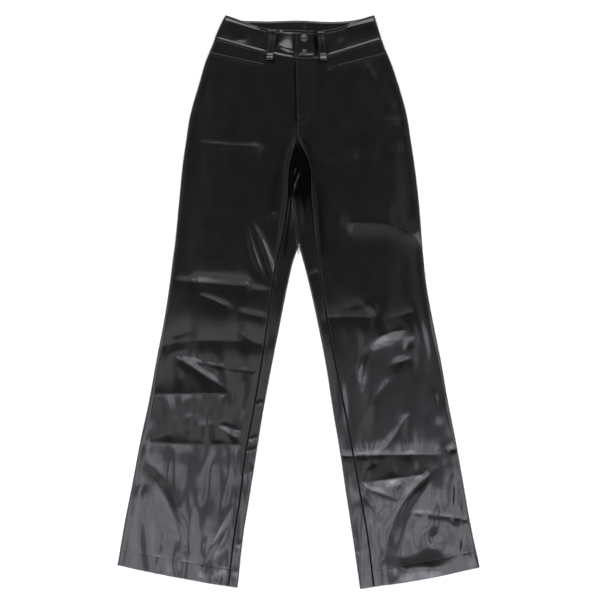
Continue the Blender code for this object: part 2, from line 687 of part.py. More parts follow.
def front_loop(loop, leather):
    """A belt loop on the front band: a strap with bevelled edges that bulges in its middle,
    and whose foot goes down onto the front panel."""
    top = np.array(loop["top"])
    foot = np.array(loop["foot"])
    share = np.linspace(0.0, 1.0, LOOP_ROWS)
    centre = top + share[:, None] * (foot - top)
    seam_y = smooth_curve(foot[0], FRONT_BAND_SEAM["x"], FRONT_BAND_SEAM["y"])
    on_panel = smoothstep((seam_y + LOOP_STEP_ABOVE_SEAM - centre[:, 1]) / LOOP_STEP_LENGTH)
    bulge = LOOP_BULGE * np.sin(math.pi * share) ** 2
    width = loop["top_width"] + share * (loop["foot_width"] - loop["top_width"])
    highest = np.maximum(
        band_face(centre[:, 0] - width / 2, centre[:, 1]),
        band_face(centre[:, 0] + width / 2, centre[:, 1]),
    )
    base = highest + SEAM_GAP + bulge - on_panel * LOOP_STEP_DOWN
    ring_side = np.array([-0.5, 0.5, 0.5, 0.5, -0.5, -0.5])
    ring_inset = np.array([0.0, 0.0, 0.0, -LOOP_BEVEL, LOOP_BEVEL, 0.0])
    bevel_foot = LOOP_THICKNESS - LOOP_BEVEL
    ring_z = np.array([0.0, 0.0, bevel_foot, LOOP_THICKNESS, LOOP_THICKNESS, bevel_foot])
    x = centre[:, :1] + width[:, None] * ring_side + ring_inset
    y = np.broadcast_to(centre[:, 1:], x.shape)
    z = base[:, None] + ring_z
    loft(loop["name"], np.stack([x, y, z], axis=-1), leather)


def back_loop(loop, leather):
    """A belt loop under the back band, pressed flat by the trousers on it."""
    half = BACK_LOOP_WIDTH / 2
    ring_x = loop["x"] + np.array([-half, half, half, -half])
    ring_z = np.array([0.0, 0.0, BACK_LOOP_THICKNESS, BACK_LOOP_THICKNESS])
    ends = np.array([[loop["top"]], [loop["foot"]]])
    x, y, z = np.broadcast_arrays(ring_x, ends, ring_z)
    loft(loop["name"], np.stack([x, y, z], axis=-1), leather)


def snap_cap(snap, metal):
    """A snap's cap: a turned profile with a low rim round a slightly sunk, domed middle."""
    radii = SNAP_TABLE["radius"][:, None] * snap["radius"]
    heights = SNAP_TABLE["height"][:, None] * snap["height"]
    turn = np.arange(SNAP_SIDES) / SNAP_SIDES * 2 * math.pi
    base = band_face(snap["x"], snap["y"]) + SEAM_GAP
    x = snap["x"] + radii * np.cos(turn)
    y = snap["y"] + radii * np.sin(turn)
    z = np.broadcast_to(base + heights, x.shape)
    loft(snap["name"], np.stack([x, y, z], axis=-1), metal)


def fly_zip(tape):
    """The closed zip behind the fly: its tape lies under the fronts, with the teeth as a ridge
    on its inner side."""
    levels = np.linspace(ZIP_TOP, ZIP_BOTTOM, ZIP_ROWS)
    centre_x = np.interp(levels, CENTRE_FRONT["level"], CENTRE_FRONT["x"])
    tape_x = ZIP_TAPE_HALF_WIDTH
    teeth_x = ZIP_TEETH_HALF_WIDTH
    teeth_z = -ZIP_TAPE - ZIP_TEETH
    ring_x = np.array([-tape_x, -tape_x, -teeth_x, -teeth_x, teeth_x, teeth_x, tape_x, tape_x])
    ring_z = np.array([0.0, -ZIP_TAPE, -ZIP_TAPE, teeth_z, teeth_z, -ZIP_TAPE, -ZIP_TAPE, 0.0])
    lowest_front = np.minimum.reduce([
        surface_top(RIGHT_LEG, levels, -ZIP_TAPE_HALF_WIDTH),
        surface_top(RIGHT_LEG, levels, 0.0),
        surface_top(LEFT_LEG, levels, -ZIP_TAPE_HALF_WIDTH),
    ])
    base = lowest_front - WALL - SEAM_GAP
    x = centre_x[:, None] + ring_x
    y = np.broadcast_to(levels[:, None], x.shape)
    z = base[:, None] + ring_z
    loft("fly_zip", np.stack([x, y, z], axis=-1), tape)


def surface_top(leg, levels, past_edge):
    """Height of a front's outer face at a distance past its centre edge."""
    return front_height(leg, levels, section(leg, levels).front_end + past_edge)


def main():
    for item in list(bpy.data.objects):
        bpy.data.objects.remove(item, do_unlink=True)
    leather = cloth_material("black_leather", (0.018, 0.018, 0.020), 0.32, 0.5)
    metal = metal_material("black_metal", (0.05, 0.05, 0.055), 0.25)
    tape = cloth_material("zip_tape", (0.012, 0.012, 0.012), 0.8, 0.0)

    back_panel(RIGHT_LEG, "back_right", leather)
    back_panel(LEFT_LEG, "back_left", leather)
    front_panel(RIGHT_LEG, "front_right", RIGHT_POCKET, 0.0, leather)
    front_panel(LEFT_LEG, "front_left", LEFT_POCKET, FLY_PROUD, leather)
    pocket_facing(RIGHT_LEG, "pocket_facing_right", RIGHT_POCKET, leather)
    pocket_facing(LEFT_LEG, "pocket_facing_left", LEFT_POCKET, leather)
    waistband(leather)
    for loop in FRONT_LOOPS:
        front_loop(loop, leather)
    for loop in BACK_LOOPS:
        back_loop(loop, leather)
    for snap in SNAPS:
        snap_cap(snap, metal)
    fly_zip(tape)


main()
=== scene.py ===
# %% [markdown]
# # Leather trousers, laid flat
# A lesson in dressing a garment. The frame holds the trousers as plain walls at their real size.
# Here each wall gets its finished skin: the same cut, worked out again on a fine grid, with the
# creases of a glossy coated cloth, turned edges, stitches and snaps.
#
# ## Load the frame
# The frame comes first, and its box is kept, because the finished trousers have to fill it.

# %% Load the frame
import math
from collections import namedtuple

import bpy
import numpy as np
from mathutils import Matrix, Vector


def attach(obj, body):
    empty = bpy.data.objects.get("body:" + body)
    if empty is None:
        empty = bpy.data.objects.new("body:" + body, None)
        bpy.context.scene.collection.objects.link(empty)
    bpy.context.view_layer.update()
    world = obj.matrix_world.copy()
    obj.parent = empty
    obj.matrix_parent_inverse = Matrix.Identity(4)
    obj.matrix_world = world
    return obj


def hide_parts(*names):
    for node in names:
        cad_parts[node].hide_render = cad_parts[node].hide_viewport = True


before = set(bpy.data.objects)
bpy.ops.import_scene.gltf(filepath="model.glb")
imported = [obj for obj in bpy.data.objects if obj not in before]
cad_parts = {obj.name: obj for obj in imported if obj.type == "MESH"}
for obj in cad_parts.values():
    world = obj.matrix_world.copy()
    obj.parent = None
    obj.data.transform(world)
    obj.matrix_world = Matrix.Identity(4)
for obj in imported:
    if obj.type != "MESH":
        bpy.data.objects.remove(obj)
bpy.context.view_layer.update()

# %% [markdown]
# ## The cut of a leg
# A trouser leg that lies flat is a flattened tube. It could be sculpted, but a garment is easier
# to change when it is cut from sizes, as a pattern cutter does. So each leg is a short table of
# sections from hem to waist. A section starts at the side fold, runs across to the inner fold,
# and says where the front panel ends. All sizes are in millimetres until a mesh is made.

# %% Tables of the two legs
MILLIMETRE = 0.001
SECTION_COLUMNS = ("level", "outer_x", "inner_x", "inner_y", "front_x")
RIGHT_LEG_SECTIONS = (
    (-504.0, -346.6, -115.8, -547.6, -133.8),
    (-418.6, -332.0, -105.8, -455.0, -123.1),
    (-341.8, -317.0, -93.0, -373.4, -110.8),
    (-265.0, -302.4, -79.8, -291.8, -100.8),
    (-188.2, -286.0, -66.6, -209.3, -85.4),
    (-111.4, -272.0, -51.2, -126.7, -71.4),
    (-34.6, -257.2, -34.8, -44.2, -59.5),
    (42.2, -245.6, -18.6, 37.4, -48.4),
    (82.0, -240.6, -8.4, 80.4, -41.2),
    (109.0, -237.0, 1.7, 109.0, -34.6),
    (195.8, -228.3, 3.9, 195.8, -20.0),
    (272.6, -220.6, 5.9, 272.6, -14.0),
    (313.7, -214.6, 7.0, 313.7, -1.7),
    (349.4, -209.2, 7.9, 349.4, -2.4),
    (426.2, -188.0, 9.9, 426.2, -4.0),
    (464.6, -176.4, 10.9, 464.6, -4.7),
    (491.5, -165.0, 11.6, 491.5, -4.8),
    (522.2, -153.2, 12.4, 522.2, -4.8),
    (551.0, -139.2, 13.1, 551.0, -4.8),
)
LEFT_LEG_SECTIONS = (
    (-508.4, 349.0, 118.9, -549.9, 145.5),
    (-418.6, 330.0, 105.4, -454.1, 133.8),
    (-341.8, 316.6, 93.0, -372.5, 119.6),
    (-265.0, 303.0, 80.8, -289.9, 105.2),
    (-188.2, 287.8, 67.0, -208.3, 89.7),
    (-111.4, 274.4, 54.4, -125.8, 73.0),
    (-34.6, 258.8, 38.6, -44.2, 57.8),
    (42.2, 245.6, 20.6, 37.4, 45.5),
    (109.0, 239.0, 1.7, 109.0, 33.6),
    (195.8, 232.0, 3.9, 195.8, 25.5),
    (272.6, 222.6, 5.9, 272.6, 18.5),
    (313.7, 216.4, 7.0, 313.7, -1.7),
    (349.4, 211.0, 7.9, 349.4, -2.4),
    (426.2, 190.0, 9.9, 426.2, -4.0),
    (464.6, 176.4, 10.9, 464.6, -4.7),
    (491.5, 165.0, 11.6, 491.5, -4.8),
    (522.2, 155.4, 12.4, 522.2, -4.8),
    (551.0, 146.6, 13.1, 551.0, -4.8),
)


def columns(names, rows):
    """A table's columns by name, each an array down its rows."""
    return dict(zip(names, np.array(rows, dtype=float).T))


RIGHT_LEG = columns(SECTION_COLUMNS, RIGHT_LEG_SECTIONS)
LEFT_LEG = columns(SECTION_COLUMNS, LEFT_LEG_SECTIONS)
WAIST_TOP = 551.0
ORIGIN_X = (RIGHT_LEG["outer_x"].min() + LEFT_LEG["outer_x"].max()) / 2
ORIGIN_Y = (LEFT_LEG["inner_y"].min() + WAIST_TOP) / 2
print("middle of the lay on the table:", ORIGIN_X, ORIGIN_Y)

# %% [markdown]
# ## Smooth lines through few points
# A tailor bends a curve ruler through a few marks. `smooth_curve` does that: a cubic through the
# marks. `smoothstep` is the soft switch that fades one shape into the next.

# %% Curves
def smoothstep(value):
    """S curve: three times v squared less two times v cubed, held at 0 and 1 outside."""
    value = np.clip(value, 0.0, 1.0)
    return value * value * (3.0 - 2.0 * value)


def smooth_curve(at, knots, values):
    """Cubic through the knots, with the chord slope of its two neighbours at each knot."""
    slopes = np.gradient(values, knots)
    span = np.clip(np.searchsorted(knots, at) - 1, 0, len(knots) - 2)
    width = knots[span + 1] - knots[span]
    t = (at - knots[span]) / width
    start = (1 + 2 * t) * (1 - t) ** 2 * values[span] + t * (1 - t) ** 2 * width * slopes[span]
    end = t * t * (3 - 2 * t) * values[span + 1] + t * t * (t - 1) * width * slopes[span + 1]
    return start + end


SEAM_GAP = 0.3
KNEE_LEVEL = 20.0
CROTCH_LEVEL = 313.7
FORK_LEVEL = 109.0
CENTRE_FRONT = {"level": np.array([313.7, 468.0]), "x": np.array([-1.7, -4.8])}
HEM_BOW = 2.0
HEM_BOW_REACH = 150.0
Section = namedtuple("Section", "outer_x run climb length front_end")


def section(leg, level):
    """Outer point of a section, its direction (run, climb), its length to the inner fold, and
    the distance along it at which the front panel ends."""
    outer_x = smooth_curve(level, leg["level"], leg["outer_x"])
    legs = leg["level"] <= FORK_LEVEL
    fold_x = smooth_curve(level, leg["level"][legs], leg["inner_x"][legs])
    fold_y = smooth_curve(level, leg["level"][legs], leg["inner_y"][legs])
    seat = leg["level"] >= FORK_LEVEL
    centre_back_x = np.interp(level, leg["level"][seat], leg["inner_x"][seat])
    inner_x = np.where(level < FORK_LEVEL, fold_x, centre_back_x)
    inner_y = np.where(level < FORK_LEVEL, fold_y, level)
    below = leg["level"] <= CROTCH_LEVEL
    inseam_x = smooth_curve(level, leg["level"][below], leg["front_x"][below])
    centre_x = np.interp(level, CENTRE_FRONT["level"], CENTRE_FRONT["x"])
    front_x = np.where(level < CROTCH_LEVEL, inseam_x, centre_x)
    length = np.hypot(inner_x - outer_x, inner_y - level)
    run = (inner_x - outer_x) / length
    climb = (inner_y - level) / length
    front_end = (front_x - outer_x) / run - SEAM_GAP / 2
    return Section(outer_x, run, climb, length - SEAM_GAP / 2, front_end)


def lay_point(leg, level, distance):
    """Point of a section: its outer point plus direction times distance, less a parabola that
    bows the sections near the hem."""
    cut = section(leg, level)
    share = np.clip(distance / cut.length, 0.0, 1.0)
    near_hem = smoothstep(1 - (level - leg["level"][0]) / HEM_BOW_REACH)
    bow = HEM_BOW * near_hem * 4 * share * (1 - share)
    return cut.outer_x + cut.run * distance, level + cut.climb * distance - bow


knee_width = float(section(RIGHT_LEG, KNEE_LEVEL).length)
print(f"width of the right leg at the knee: {knee_width:.1f} mm")

# %% [markdown]
# ## Creases of a coated cloth
# Coated cloth is stiff, so it doesn't ripple like wool. It breaks into flat facets that meet in
# sharp lines, with softer swells between them. Cloth simulation gives random creases, and here
# each one has its known place, so they are listed one by one. One row is one crease, from its left
# end to its right end: a ridge where its rise is positive and a valley where it is negative.
# `above` and `below` say how far its two slopes reach, and `crest` how rounded its line is.

# %% Crease tables
CREASE_COLUMNS = ("x0", "y0", "x1", "y1", "bow", "rise", "above", "below", "crest")
RIGHT_LEG_CREASES = (
    (-210, 308, -61, 298, -3, -2.2, 9, 26, 1.5),
    (-104, 298, -14, 292, -1, -1, 9, 26, 1.5),
    (-100, 164, -54, 24, -7, -2.8, 5.5, 6, 0.8),
    (-96, 166, -40, 16, 8, -2.8, 5.5, 6, 0.8),
    (-64.3, 153.6, -35.5, 174.7, 0, -1.2, 5, 6, 1.5),
    (-213, 40, -83, 33, 1, -2.6, 10, 16, 1.2),
    (-242, 45, -44, 22, -1, -1, 5, 30, 1.2),
    (-198, 18, -119, -17, 2, -1.8, 5, 12, 1.2),
    (-119, -16, -58, -30, 0, -0.8, 4, 8, 1.5),
    (-284, -89, -54, -82, 13, -1.2, 16, 14, 5),
    (-245.8, -68.2, -195.8, -52.8, 2, -0.9, 7, 7, 3),
    (-119, -52.8, -80.6, -81.6, 1, -1.3, 8, 8, 2),
    (-250, -99, -129, -175, 4, -2.6, 8, 26, 1),
    (-238.1, -102.7, -188.2, -131.5, 1, -1.5, 7, 9, 1.5),
    (-230, -105, -79, -132, -3, -0.7, 4, 5, 1),
    (-292, -176, -129, -174, 0, 2, 24, 12, 0.8),
    (-152, -107, -123, -172, 0, -0.7, 6, 6, 2),
    (-294, -264, -265, -160, 0, 1.8, 9, 18, 1.5),
    (-129, -214, -121, -149, 0, -1.2, 6, 9, 1.5),
    (-111, -226, -100, -133, 0, 0.8, 8, 10, 4),
    (-250, -260, -242, -180, 0, -0.8, 10, 12, 4),
    (-246, -233, -188, -218, 2, -0.5, 8, 8, 4),
    (-300, -265, -102, -272, -3, 1.5, 10, 26, 0.8),
    (-284, -260, -154, -232, 2, -0.5, 10, 12, 1.5),
    (-157.4, -231.4, -103.7, -248.6, 0, 1.7, 6, 12, 0.8),
    (-153.6, -234.2, -107.5, -265.9, -2, -1.2, 9, 6, 1),
    (-292, -302, -211, -498, 11, 3.2, 7, 28, 1),
    (-190, -502, -113, -368, 0, 2.8, 22, 8, 1),
    (-180, -510, -127, -420, -1, 2.2, 5, 22, 1),
    (-296, -287, -259, -348, 0, -1.4, 10, 8, 1.5),
    (-257, -352, -246, -276, 0, 1, 9, 9, 2.5),
    (-307, -402, -298, -345, 0, 1.3, 4, 5, 1.5),
    (-326, -479, -303, -322, 0, -1, 9, 10, 3),
    (-272.6, -417.6, -261.1, -465.6, 0, 0.7, 6, 6, 2.5),
    (-230, -418, -207, -283, 0, 0.9, 11, 12, 5),
    (-219, -487, -196, -379, 0, -0.9, 9, 9, 3),
    (-177, -418, -165, -283, 0, -1.1, 13, 13, 5),
    (-142, -398, -131, -287, 0, 1, 12, 12, 4),
    (-182, -494, -169, -437, 0, -1.2, 5, 6, 1.5),
    (-322.6, -505.9, -311, -456, 0, -0.9, 12, 10, 3),
    (-270.7, -517.4, -263, -471.4, 0, -1, 7, 7, 2),
    (-245.8, -525.1, -241.9, -471.4, 0, 1.2, 9, 10, 3),
    (-215, -532.8, -207.4, -479, 0, -1.2, 10, 9, 3),
    (-188.2, -529, -182.4, -494.4, 0, 1.4, 4, 4, 1.5),
    (-165.1, -536.6, -161.3, -494.4, 0, 1.2, 8, 8, 2.5),
    (-149.8, -540.5, -142.1, -505.9, 0, -1.2, 5, 6, 1.5),
)
LEFT_LEG_CREASES = (
    (12, 274, 123, 278, 4, 1.5, 26, 9, 2.5),
    (155.5, 342.7, 197.8, 349.4, 1, 1.3, 6, 5, 2),
    (165.1, 290.9, 203.5, 298.6, 1, 1, 6, 4, 2),
    (165.1, 372.5, 192, 381.1, 0, 0.8, 5, 4, 1.5),
    (-10.4, 216, 10, 269.8, 1.5, 1.6, 1.8, 1.8, 0.4),
    (73, 153, 211, 145, 6, 4.5, 30, 22, 6),
    (177, 156, 240, 107, 4, 3.6, 22, 14, 5),
    (42, -30, 150, -29, 1, -1.7, 12, 12, 1.2),
    (76.8, -18.2, 130.6, -1, 2, -0.8, 10, 10, 3),
    (157, -30, 227, -12, -6, -1.6, 8, 12, 1.5),
    (136.3, 8.6, 151.7, -29.8, 0, 1.6, 6, 5, 1.5),
    (221, 9, 248, -126, 2, 2.7, 11, 14, 1.5),
    (119, -99, 223, -55, 17, 6.8, 22, 13, 5),
    (120, -180, 142, -76, 4, 2.6, 8, 12, 2),
    (201.6, -97, 230.4, -62.4, 1, -1.8, 7, 6, 2),
    (169, -124, 234, -105, 2, -2, 9, 15, 2),
    (103.7, -114.2, 115.2, -168, 0, -1.1, 5, 5, 1.5),
    (152, -295, 217, -206, -3, -1.1, 4, 9, 0.8),
    (257, -156, 275, -241, 0, 1.1, 5, 6, 1.2),
    (273, -172, 298, -264, 0, 1.2, 7, 9, 3),
    (105.6, -293.8, 138.2, -293.8, 0, -1.6, 10, 8, 1.5),
    (100, -294, 278, -292, 1, -2, 10, 14, 1),
    (284.2, -277.4, 305.3, -287, 0, -1.8, 6, 4, 1),
    (122.9, -323.5, 157.4, -300.5, 0, -0.7, 7, 6, 2.5),
    (115, -346, 261, -326, -1, 2.3, 12, 15, 1),
    (119, -352, 198, -380, 1, -1.2, 8, 8, 1.2),
    (165.1, -363.8, 207.4, -344.6, 0, -0.8, 8, 9, 3),
    (165, -506, 284, -306, 30, -2.8, 16, 14, 0.8),
    (194, -510, 280, -306, 20, 3, 14, 20, 0.8),
    (215, -402, 330, -418, 1, -0.9, 4, 5, 0.8),
    (119, -360, 153.6, -406.1, 0, -0.8, 5, 5, 1.5),
    (157.4, -429.1, 172.8, -379.2, 0, -0.9, 8, 9, 3),
    (284, -418, 288, -314, 0, -1.4, 5, 6, 1.5),
    (300, -437, 305, -322, 0, -1.4, 6, 6, 1.5),
    (292, -402, 296, -322, 0, 1, 4, 4, 1.5),
    (305, -494, 311, -402, 0, 1.2, 4, 5, 1.5),
    (315, -494, 321, -437, 0, -1.4, 7, 7, 2),
    (230.4, -471.4, 238.1, -417.6, 0, -1, 8, 9, 3),
    (257.3, -475.2, 265, -425.3, 0, 1.1, 9, 9, 3),
    (275, -479, 282, -418, 0, -0.9, 6, 7, 3),
    (146, -511, 323, -499, -3, 5, 16, 70, 8),
    (176.6, -540.5, 184.3, -494.4, 0, -1.1, 10, 9, 3),
    (207.4, -536.6, 209.3, -500.2, 0, 1.3, 6, 6, 2),
    (253.4, -532.8, 261.1, -494.4, 0, 1.4, 12, 12, 3),
    (330, -517, 338, -456, 0, 1.2, 9, 8, 3),
    (131, -540, 142, -456, 0, 1, 7, 8, 2.5),
    (127.7, 463.7, 151.7, 422.4, -3, 1.7, 6, 5, 1.5),
    (111, -241, 188, -137, 3, -0.9, 10, 11, 3),
)
INNER_STRIP_CREASES = (
    (-90.2, -200.6, -59.5, -187.2, 0, 1, 5, 4, 1),
    (-99.8, -265, -67.2, -254.4, 0, 1.2, 4, 4, 0.8),
    (-103.7, -286.1, -73, -278.4, 0, 1.1, 4, 5, 0.8),
    (-107.5, -336, -76.8, -313.9, 0, 0.9, 5, 6, 1.2),
    (-124.8, -471.4, -96, -454.1, 0, 1.1, 4, 5, 1),
    (-130.6, -525.1, -99.8, -505.9, 0, 0.9, 6, 6, 1.2),
    (13.4, 43.2, 42.2, 62.4, 0, -0.8, 4, 5, 1),
    (76.8, -293.8, 115.2, -295.7, 0, -1.3, 5, 4, 0.8),
    (99.8, -480, 134.4, -472.3, 0, 1, 4, 5, 1),
)
CREASES = columns(CREASE_COLUMNS, RIGHT_LEG_CREASES + LEFT_LEG_CREASES + INNER_STRIP_CREASES)
print("creases placed:", len(CREASES["rise"]))

# %% [markdown]
# ## Painted shade
# Deep in the crotch, in the fly's slit and beside the belt loops shade falls, and the coating mirrors
# only more black cloth. That shade is painted: there the colour is darkened and the gloss taken away.
# These rows have the same columns as the creases, but their rise is a share of painted shade, 1 being
# black. A row below zero keeps a seam clear.

# %% Rows of painted shade
FRONT_SHADE_ROWS = (
    (8, 324, 46, 78, 12, 0.62, 5, 6, 4),
    (-52, 155, -27, 306, 3, 0.35, 4, 5, 3),
    (-6.5, 469.4, -4.6, 329.3, 0, 0.95, 1.4, 1, 0.6),
    (-69.1, 462.7, -40.3, 461.8, 0, 0.9, 2.5, 2.5, 1.5),
    (36.5, 462.7, 57.6, 462.7, 0, 0.9, 2, 2.5, 1.5),
)
BACK_SHADE_ROWS = (
    (-69, 254, 73, 254, 0, 2.2, 20, 20, 60),
    (9.6, 216, 17.3, 139.2, 0, 0.5, 2.5, 2.5, 2),
    (-26.9, 77.8, -11.5, 204.5, 0, 0.9, 1.4, 1.4, 0.8),
    (-10.8, 204.5, 9.6, 265.9, 1, -3, 2.2, 2.2, 0.6),
    (-10.8, 235.2, 1, 267.8, 1, -3, 1.6, 1.6, 0.4),
    (-10.8, 210.2, -6.1, 139.2, 0, -2.4, 1.8, 1.8, 0.6),
)
BAND_SHADE_ROWS = (
    (-47, 477.1, -34.9, 523.2, 0, 0.95, 2.2, 2, 1.2),
    (-9.2, 469.4, -7.7, 523.2, 0, 0.95, 1.6, 1.6, 0.8),
    (32.6, 523.2, 36.9, 467.5, 0, 1.8, 2.6, 2.6, 2),
    (54.7, 473.3, 56.6, 500.2, 0, 0.7, 1.8, 1.8, 0.8),
    (-64.3, 473.3, -60.5, 496.3, 0, 0.4, 2, 2, 1),
)
FRONT_SHADES = columns(CREASE_COLUMNS, FRONT_SHADE_ROWS)
BACK_SHADES = columns(CREASE_COLUMNS, BACK_SHADE_ROWS)
BAND_SHADES = columns(CREASE_COLUMNS, BAND_SHADE_ROWS)
print("rows of painted_shade:", len(FRONT_SHADE_ROWS) + len(BACK_SHADE_ROWS) + len(BAND_SHADE_ROWS))

# %% [markdown]
# ## From rows to a relief
# One function turns any such table into heights, so creases, puckers and the painted shade share it.
# Each row is worked out over a whole grid at once, and its ends fade, because real creases die out.
# Fine ripples lie between the creases. They are a sum of waves with a fixed seed, so that every
# run makes the same cloth.

# %% Heights of the creases and ripples
FADE_REACHES = 1.2
FADE_SLOPE = 22.0


def crease_height(x, y, table=CREASES):
    """Sum of the creases. Across its line each one falls as e to the minus distance over reach,
    rounded at the crest; it dies out towards both ends, more slowly where it is high or runs down
    the leg; a parabola bows its line."""
    height = np.zeros(np.broadcast(x, y).shape)
    for x0, y0, x1, y1, bow, rise, above, below, crest in zip(*table.values()):
        length = math.hypot(x1 - x0, y1 - y0)
        run = (x1 - x0) / length
        climb = (y1 - y0) / length
        along = ((x - x0) * run + (y - y0) * climb) / length * 2 - 1
        inside = np.clip(1 - along * along, 0.0, 1.0)
        aside = (y - y0) * run - (x - x0) * climb - bow * inside
        to_end = np.clip(1 - np.abs(along), 0.0, 1.0) * length / 2
        fading = FADE_REACHES * (above + below) / 2 + FADE_SLOPE * abs(rise * climb)
        fade = smoothstep(to_end / min(fading, length / 2))
        fall = (np.sqrt(aside * aside + crest * crest) - crest) / np.where(aside > 0, above, below)
        height += rise * fade * np.exp(-fall)
    return height


RIPPLE_WAVES = 16
RIPPLE_SHORTEST = 26.0
RIPPLE_LONGEST = 120.0
RIPPLE_FAN = 0.22
RIPPLE_RISE = 0.0028
CROSS_WAVES = 12
CROSS_RISE = 0.0008
CALM_HEIGHT = 1.4
RIPPLE_SEED = 7
RIPPLE_LEAST = 0.25
RIPPLE_FULL_AT = 10.0
RIPPLE_FADE = 130.0


def ripple_height(x, y):
    """Sum of sine waves, each one's height a small share of its length. The stronger waves run
    across the leg, so that their crests lie along it, and the weaker ones run in all directions.
    They are full below the knee and a quarter as high above it."""
    dice = np.random.default_rng(RIPPLE_SEED)
    along_leg = dice.uniform(-RIPPLE_FAN, RIPPLE_FAN, RIPPLE_WAVES)
    all_ways = dice.uniform(0, math.pi, CROSS_WAVES)
    turn = np.concatenate([along_leg, all_ways])
    length = np.concatenate([
        np.geomspace(RIPPLE_SHORTEST, RIPPLE_LONGEST, RIPPLE_WAVES),
        np.geomspace(RIPPLE_SHORTEST, RIPPLE_LONGEST, CROSS_WAVES),
    ])
    rise = np.concatenate([np.full(RIPPLE_WAVES, RIPPLE_RISE), np.full(CROSS_WAVES, CROSS_RISE)])
    phase = dice.uniform(0, 2 * math.pi, len(turn))
    height = np.zeros(np.broadcast(x, y).shape)
    for wave, angle, share, start in zip(length, turn, rise, phase):
        travel = x * math.cos(angle) + y * math.sin(angle)
        height += share * wave * np.sin(travel / wave * 2 * math.pi + start)
    below_knee = smoothstep((RIPPLE_FULL_AT - y) / RIPPLE_FADE)
    return height * (RIPPLE_LEAST + (1 - RIPPLE_LEAST) * below_knee)


print("ripples:", RIPPLE_WAVES + CROSS_WAVES, "waves of", RIPPLE_SHORTEST, "to", RIPPLE_LONGEST, "mm")


# %% [markdown]
# ## Heights of the lay
# The underside lies on the table. The front lies on it with a little air between, and the loops
# under the back waistband lift the waist. Edges matter as much as creases: a turned edge rolls
# over and has a ditch where it is topstitched, and a plain seam just dips into its join.

# %% Heights, edges and seams
LAYERS = 6.3
EDGE_RADIUS = LAYERS / 2
WAIST_LIFT = 2.7
LIFT_FROM = 395.0
LIFT_TO = 455.0
SWELL = 1.4
FLATTEST = -2.4
FLATTEST_GIVE = 0.15
FRONT_EDGE_PROUD = 0.4
FRONT_EDGE_REACH = 16.0
STRIP_SINK = 0.6
SEAM_DIP = 1.5
SEAM_DIP_REACH = 1.5
ROLL = 0.8
ROLL_REACH = 0.9
DITCH = 0.24
DITCH_FROM_EDGE = 4.4
DITCH_REACH = 1.3


def lift(y):
    """How far the waist is lifted: an S curve from the hip up."""
    return WAIST_LIFT * smoothstep((y - LIFT_FROM) / (LIFT_TO - LIFT_FROM))


def middle(y):
    """Height of the folded edges: half the layers plus the lift."""
    return EDGE_RADIUS + lift(y)


def seam_dip(distance):
    """Dip of a plain seam: a steep straight groove in its last millimetres."""
    return -SEAM_DIP * np.clip(1 - distance / SEAM_DIP_REACH, 0.0, 1.0)


def turned_edge(distance):
    """A turned and topstitched edge: a quarter roll at the edge, then a ditch for the stitches."""
    roll = -ROLL * np.clip(1 - distance / ROLL_REACH, 0.0, 1.0) ** 2
    ditch = -DITCH * np.exp(-(((distance - DITCH_FROM_EDGE) / DITCH_REACH) ** 2))
    return roll + ditch


def front_height(leg, level, distance):
    """Layers plus lift plus swell, creases and ripples, not below the flattest. A high crease
    pulls the cloth tight, so the ripples are calmed there by a bell curve of its height."""
    x, y = lay_point(leg, level, distance)
    share = np.clip(distance / section(leg, level).length, 0.0, 1.0)
    swell = SWELL * np.sin(math.pi * share) * (1 - lift(y) / WAIST_LIFT)
    creases = crease_height(x, y)
    calm = np.exp(-((creases / CALM_HEIGHT) ** 2))
    relief = swell + creases + ripple_height(x, y) * calm
    deep = FLATTEST - relief
    relief = np.where(deep > 0, FLATTEST - deep * FLATTEST_GIVE, relief)
    return LAYERS + lift(y) + relief


knee_height = float(front_height(RIGHT_LEG, KNEE_LEVEL, knee_width / 2))
print(f"height of the right knee's middle: {knee_height:.1f} mm")


# %% [markdown]
# ## From a surface to a wall of cloth
# A surface here is a function of two numbers: the level up the leg and the wrap round it. `patch`
# reads it on a grid and finds its normals from small steps both ways. `wall` joins patches where
# they share points, copies them inwards by the cloth's thickness and closes every free edge, so
# each piece is one closed skin: coating outside and knitted backing inside. A solidify modifier
# could do it too, but then the turned hem could not be thicker than the leg.

# %% Patches and walls
STEP = 0.02
WELD_DIGITS = 4
UPPER_SIDE = 2.0


def patch(surface, levels, wraps, thickness):
    """Grid of points, normals and thickness. Normal: cross product of the steps across and up."""
    if levels.ndim == 1:
        levels = np.repeat(levels[:, None], wraps.shape[-1], axis=1)
    wraps = np.broadcast_to(wraps, levels.shape)
    up = surface(levels + STEP, wraps) - surface(levels - STEP, wraps)
    ahead = np.minimum(wraps + STEP / 10, wraps.max(axis=1, keepdims=True))
    behind = np.maximum(wraps - STEP / 10, wraps.min(axis=1, keepdims=True))
    across = surface(levels, ahead) - surface(levels, behind)
    normals = np.cross(across, up)
    normals /= np.linalg.norm(normals, axis=-1, keepdims=True)
    return surface(levels, wraps), normals, np.broadcast_to(thickness, levels.shape)


def grid_quads(index):
    """Quads of a grid of point numbers, one row each."""
    corners = (index[:-1, :-1], index[:-1, 1:], index[1:, 1:], index[1:, :-1])
    return np.stack([corner.ravel() for corner in corners], axis=1)


def cut_size(patches, in_line):
    """Width, length and area of the cut cloth in metres: the longest row, the longest columns of
    the patches that lie in line, and the sum of the grid's cells."""
    width = 0.0
    length = 0.0
    area = 0.0
    for number, (points, normals, thickness) in enumerate(patches):
        across = np.linalg.norm(np.diff(points, axis=1), axis=-1)
        along = np.linalg.norm(np.diff(points, axis=0), axis=-1)
        width = max(width, across.sum(axis=1).max())
        if number < in_line:
            length += along.sum(axis=0).max()
        area += (across[1:] * along[:, 1:]).sum()
    return width * MILLIMETRE, length * MILLIMETRE, area * MILLIMETRE ** 2


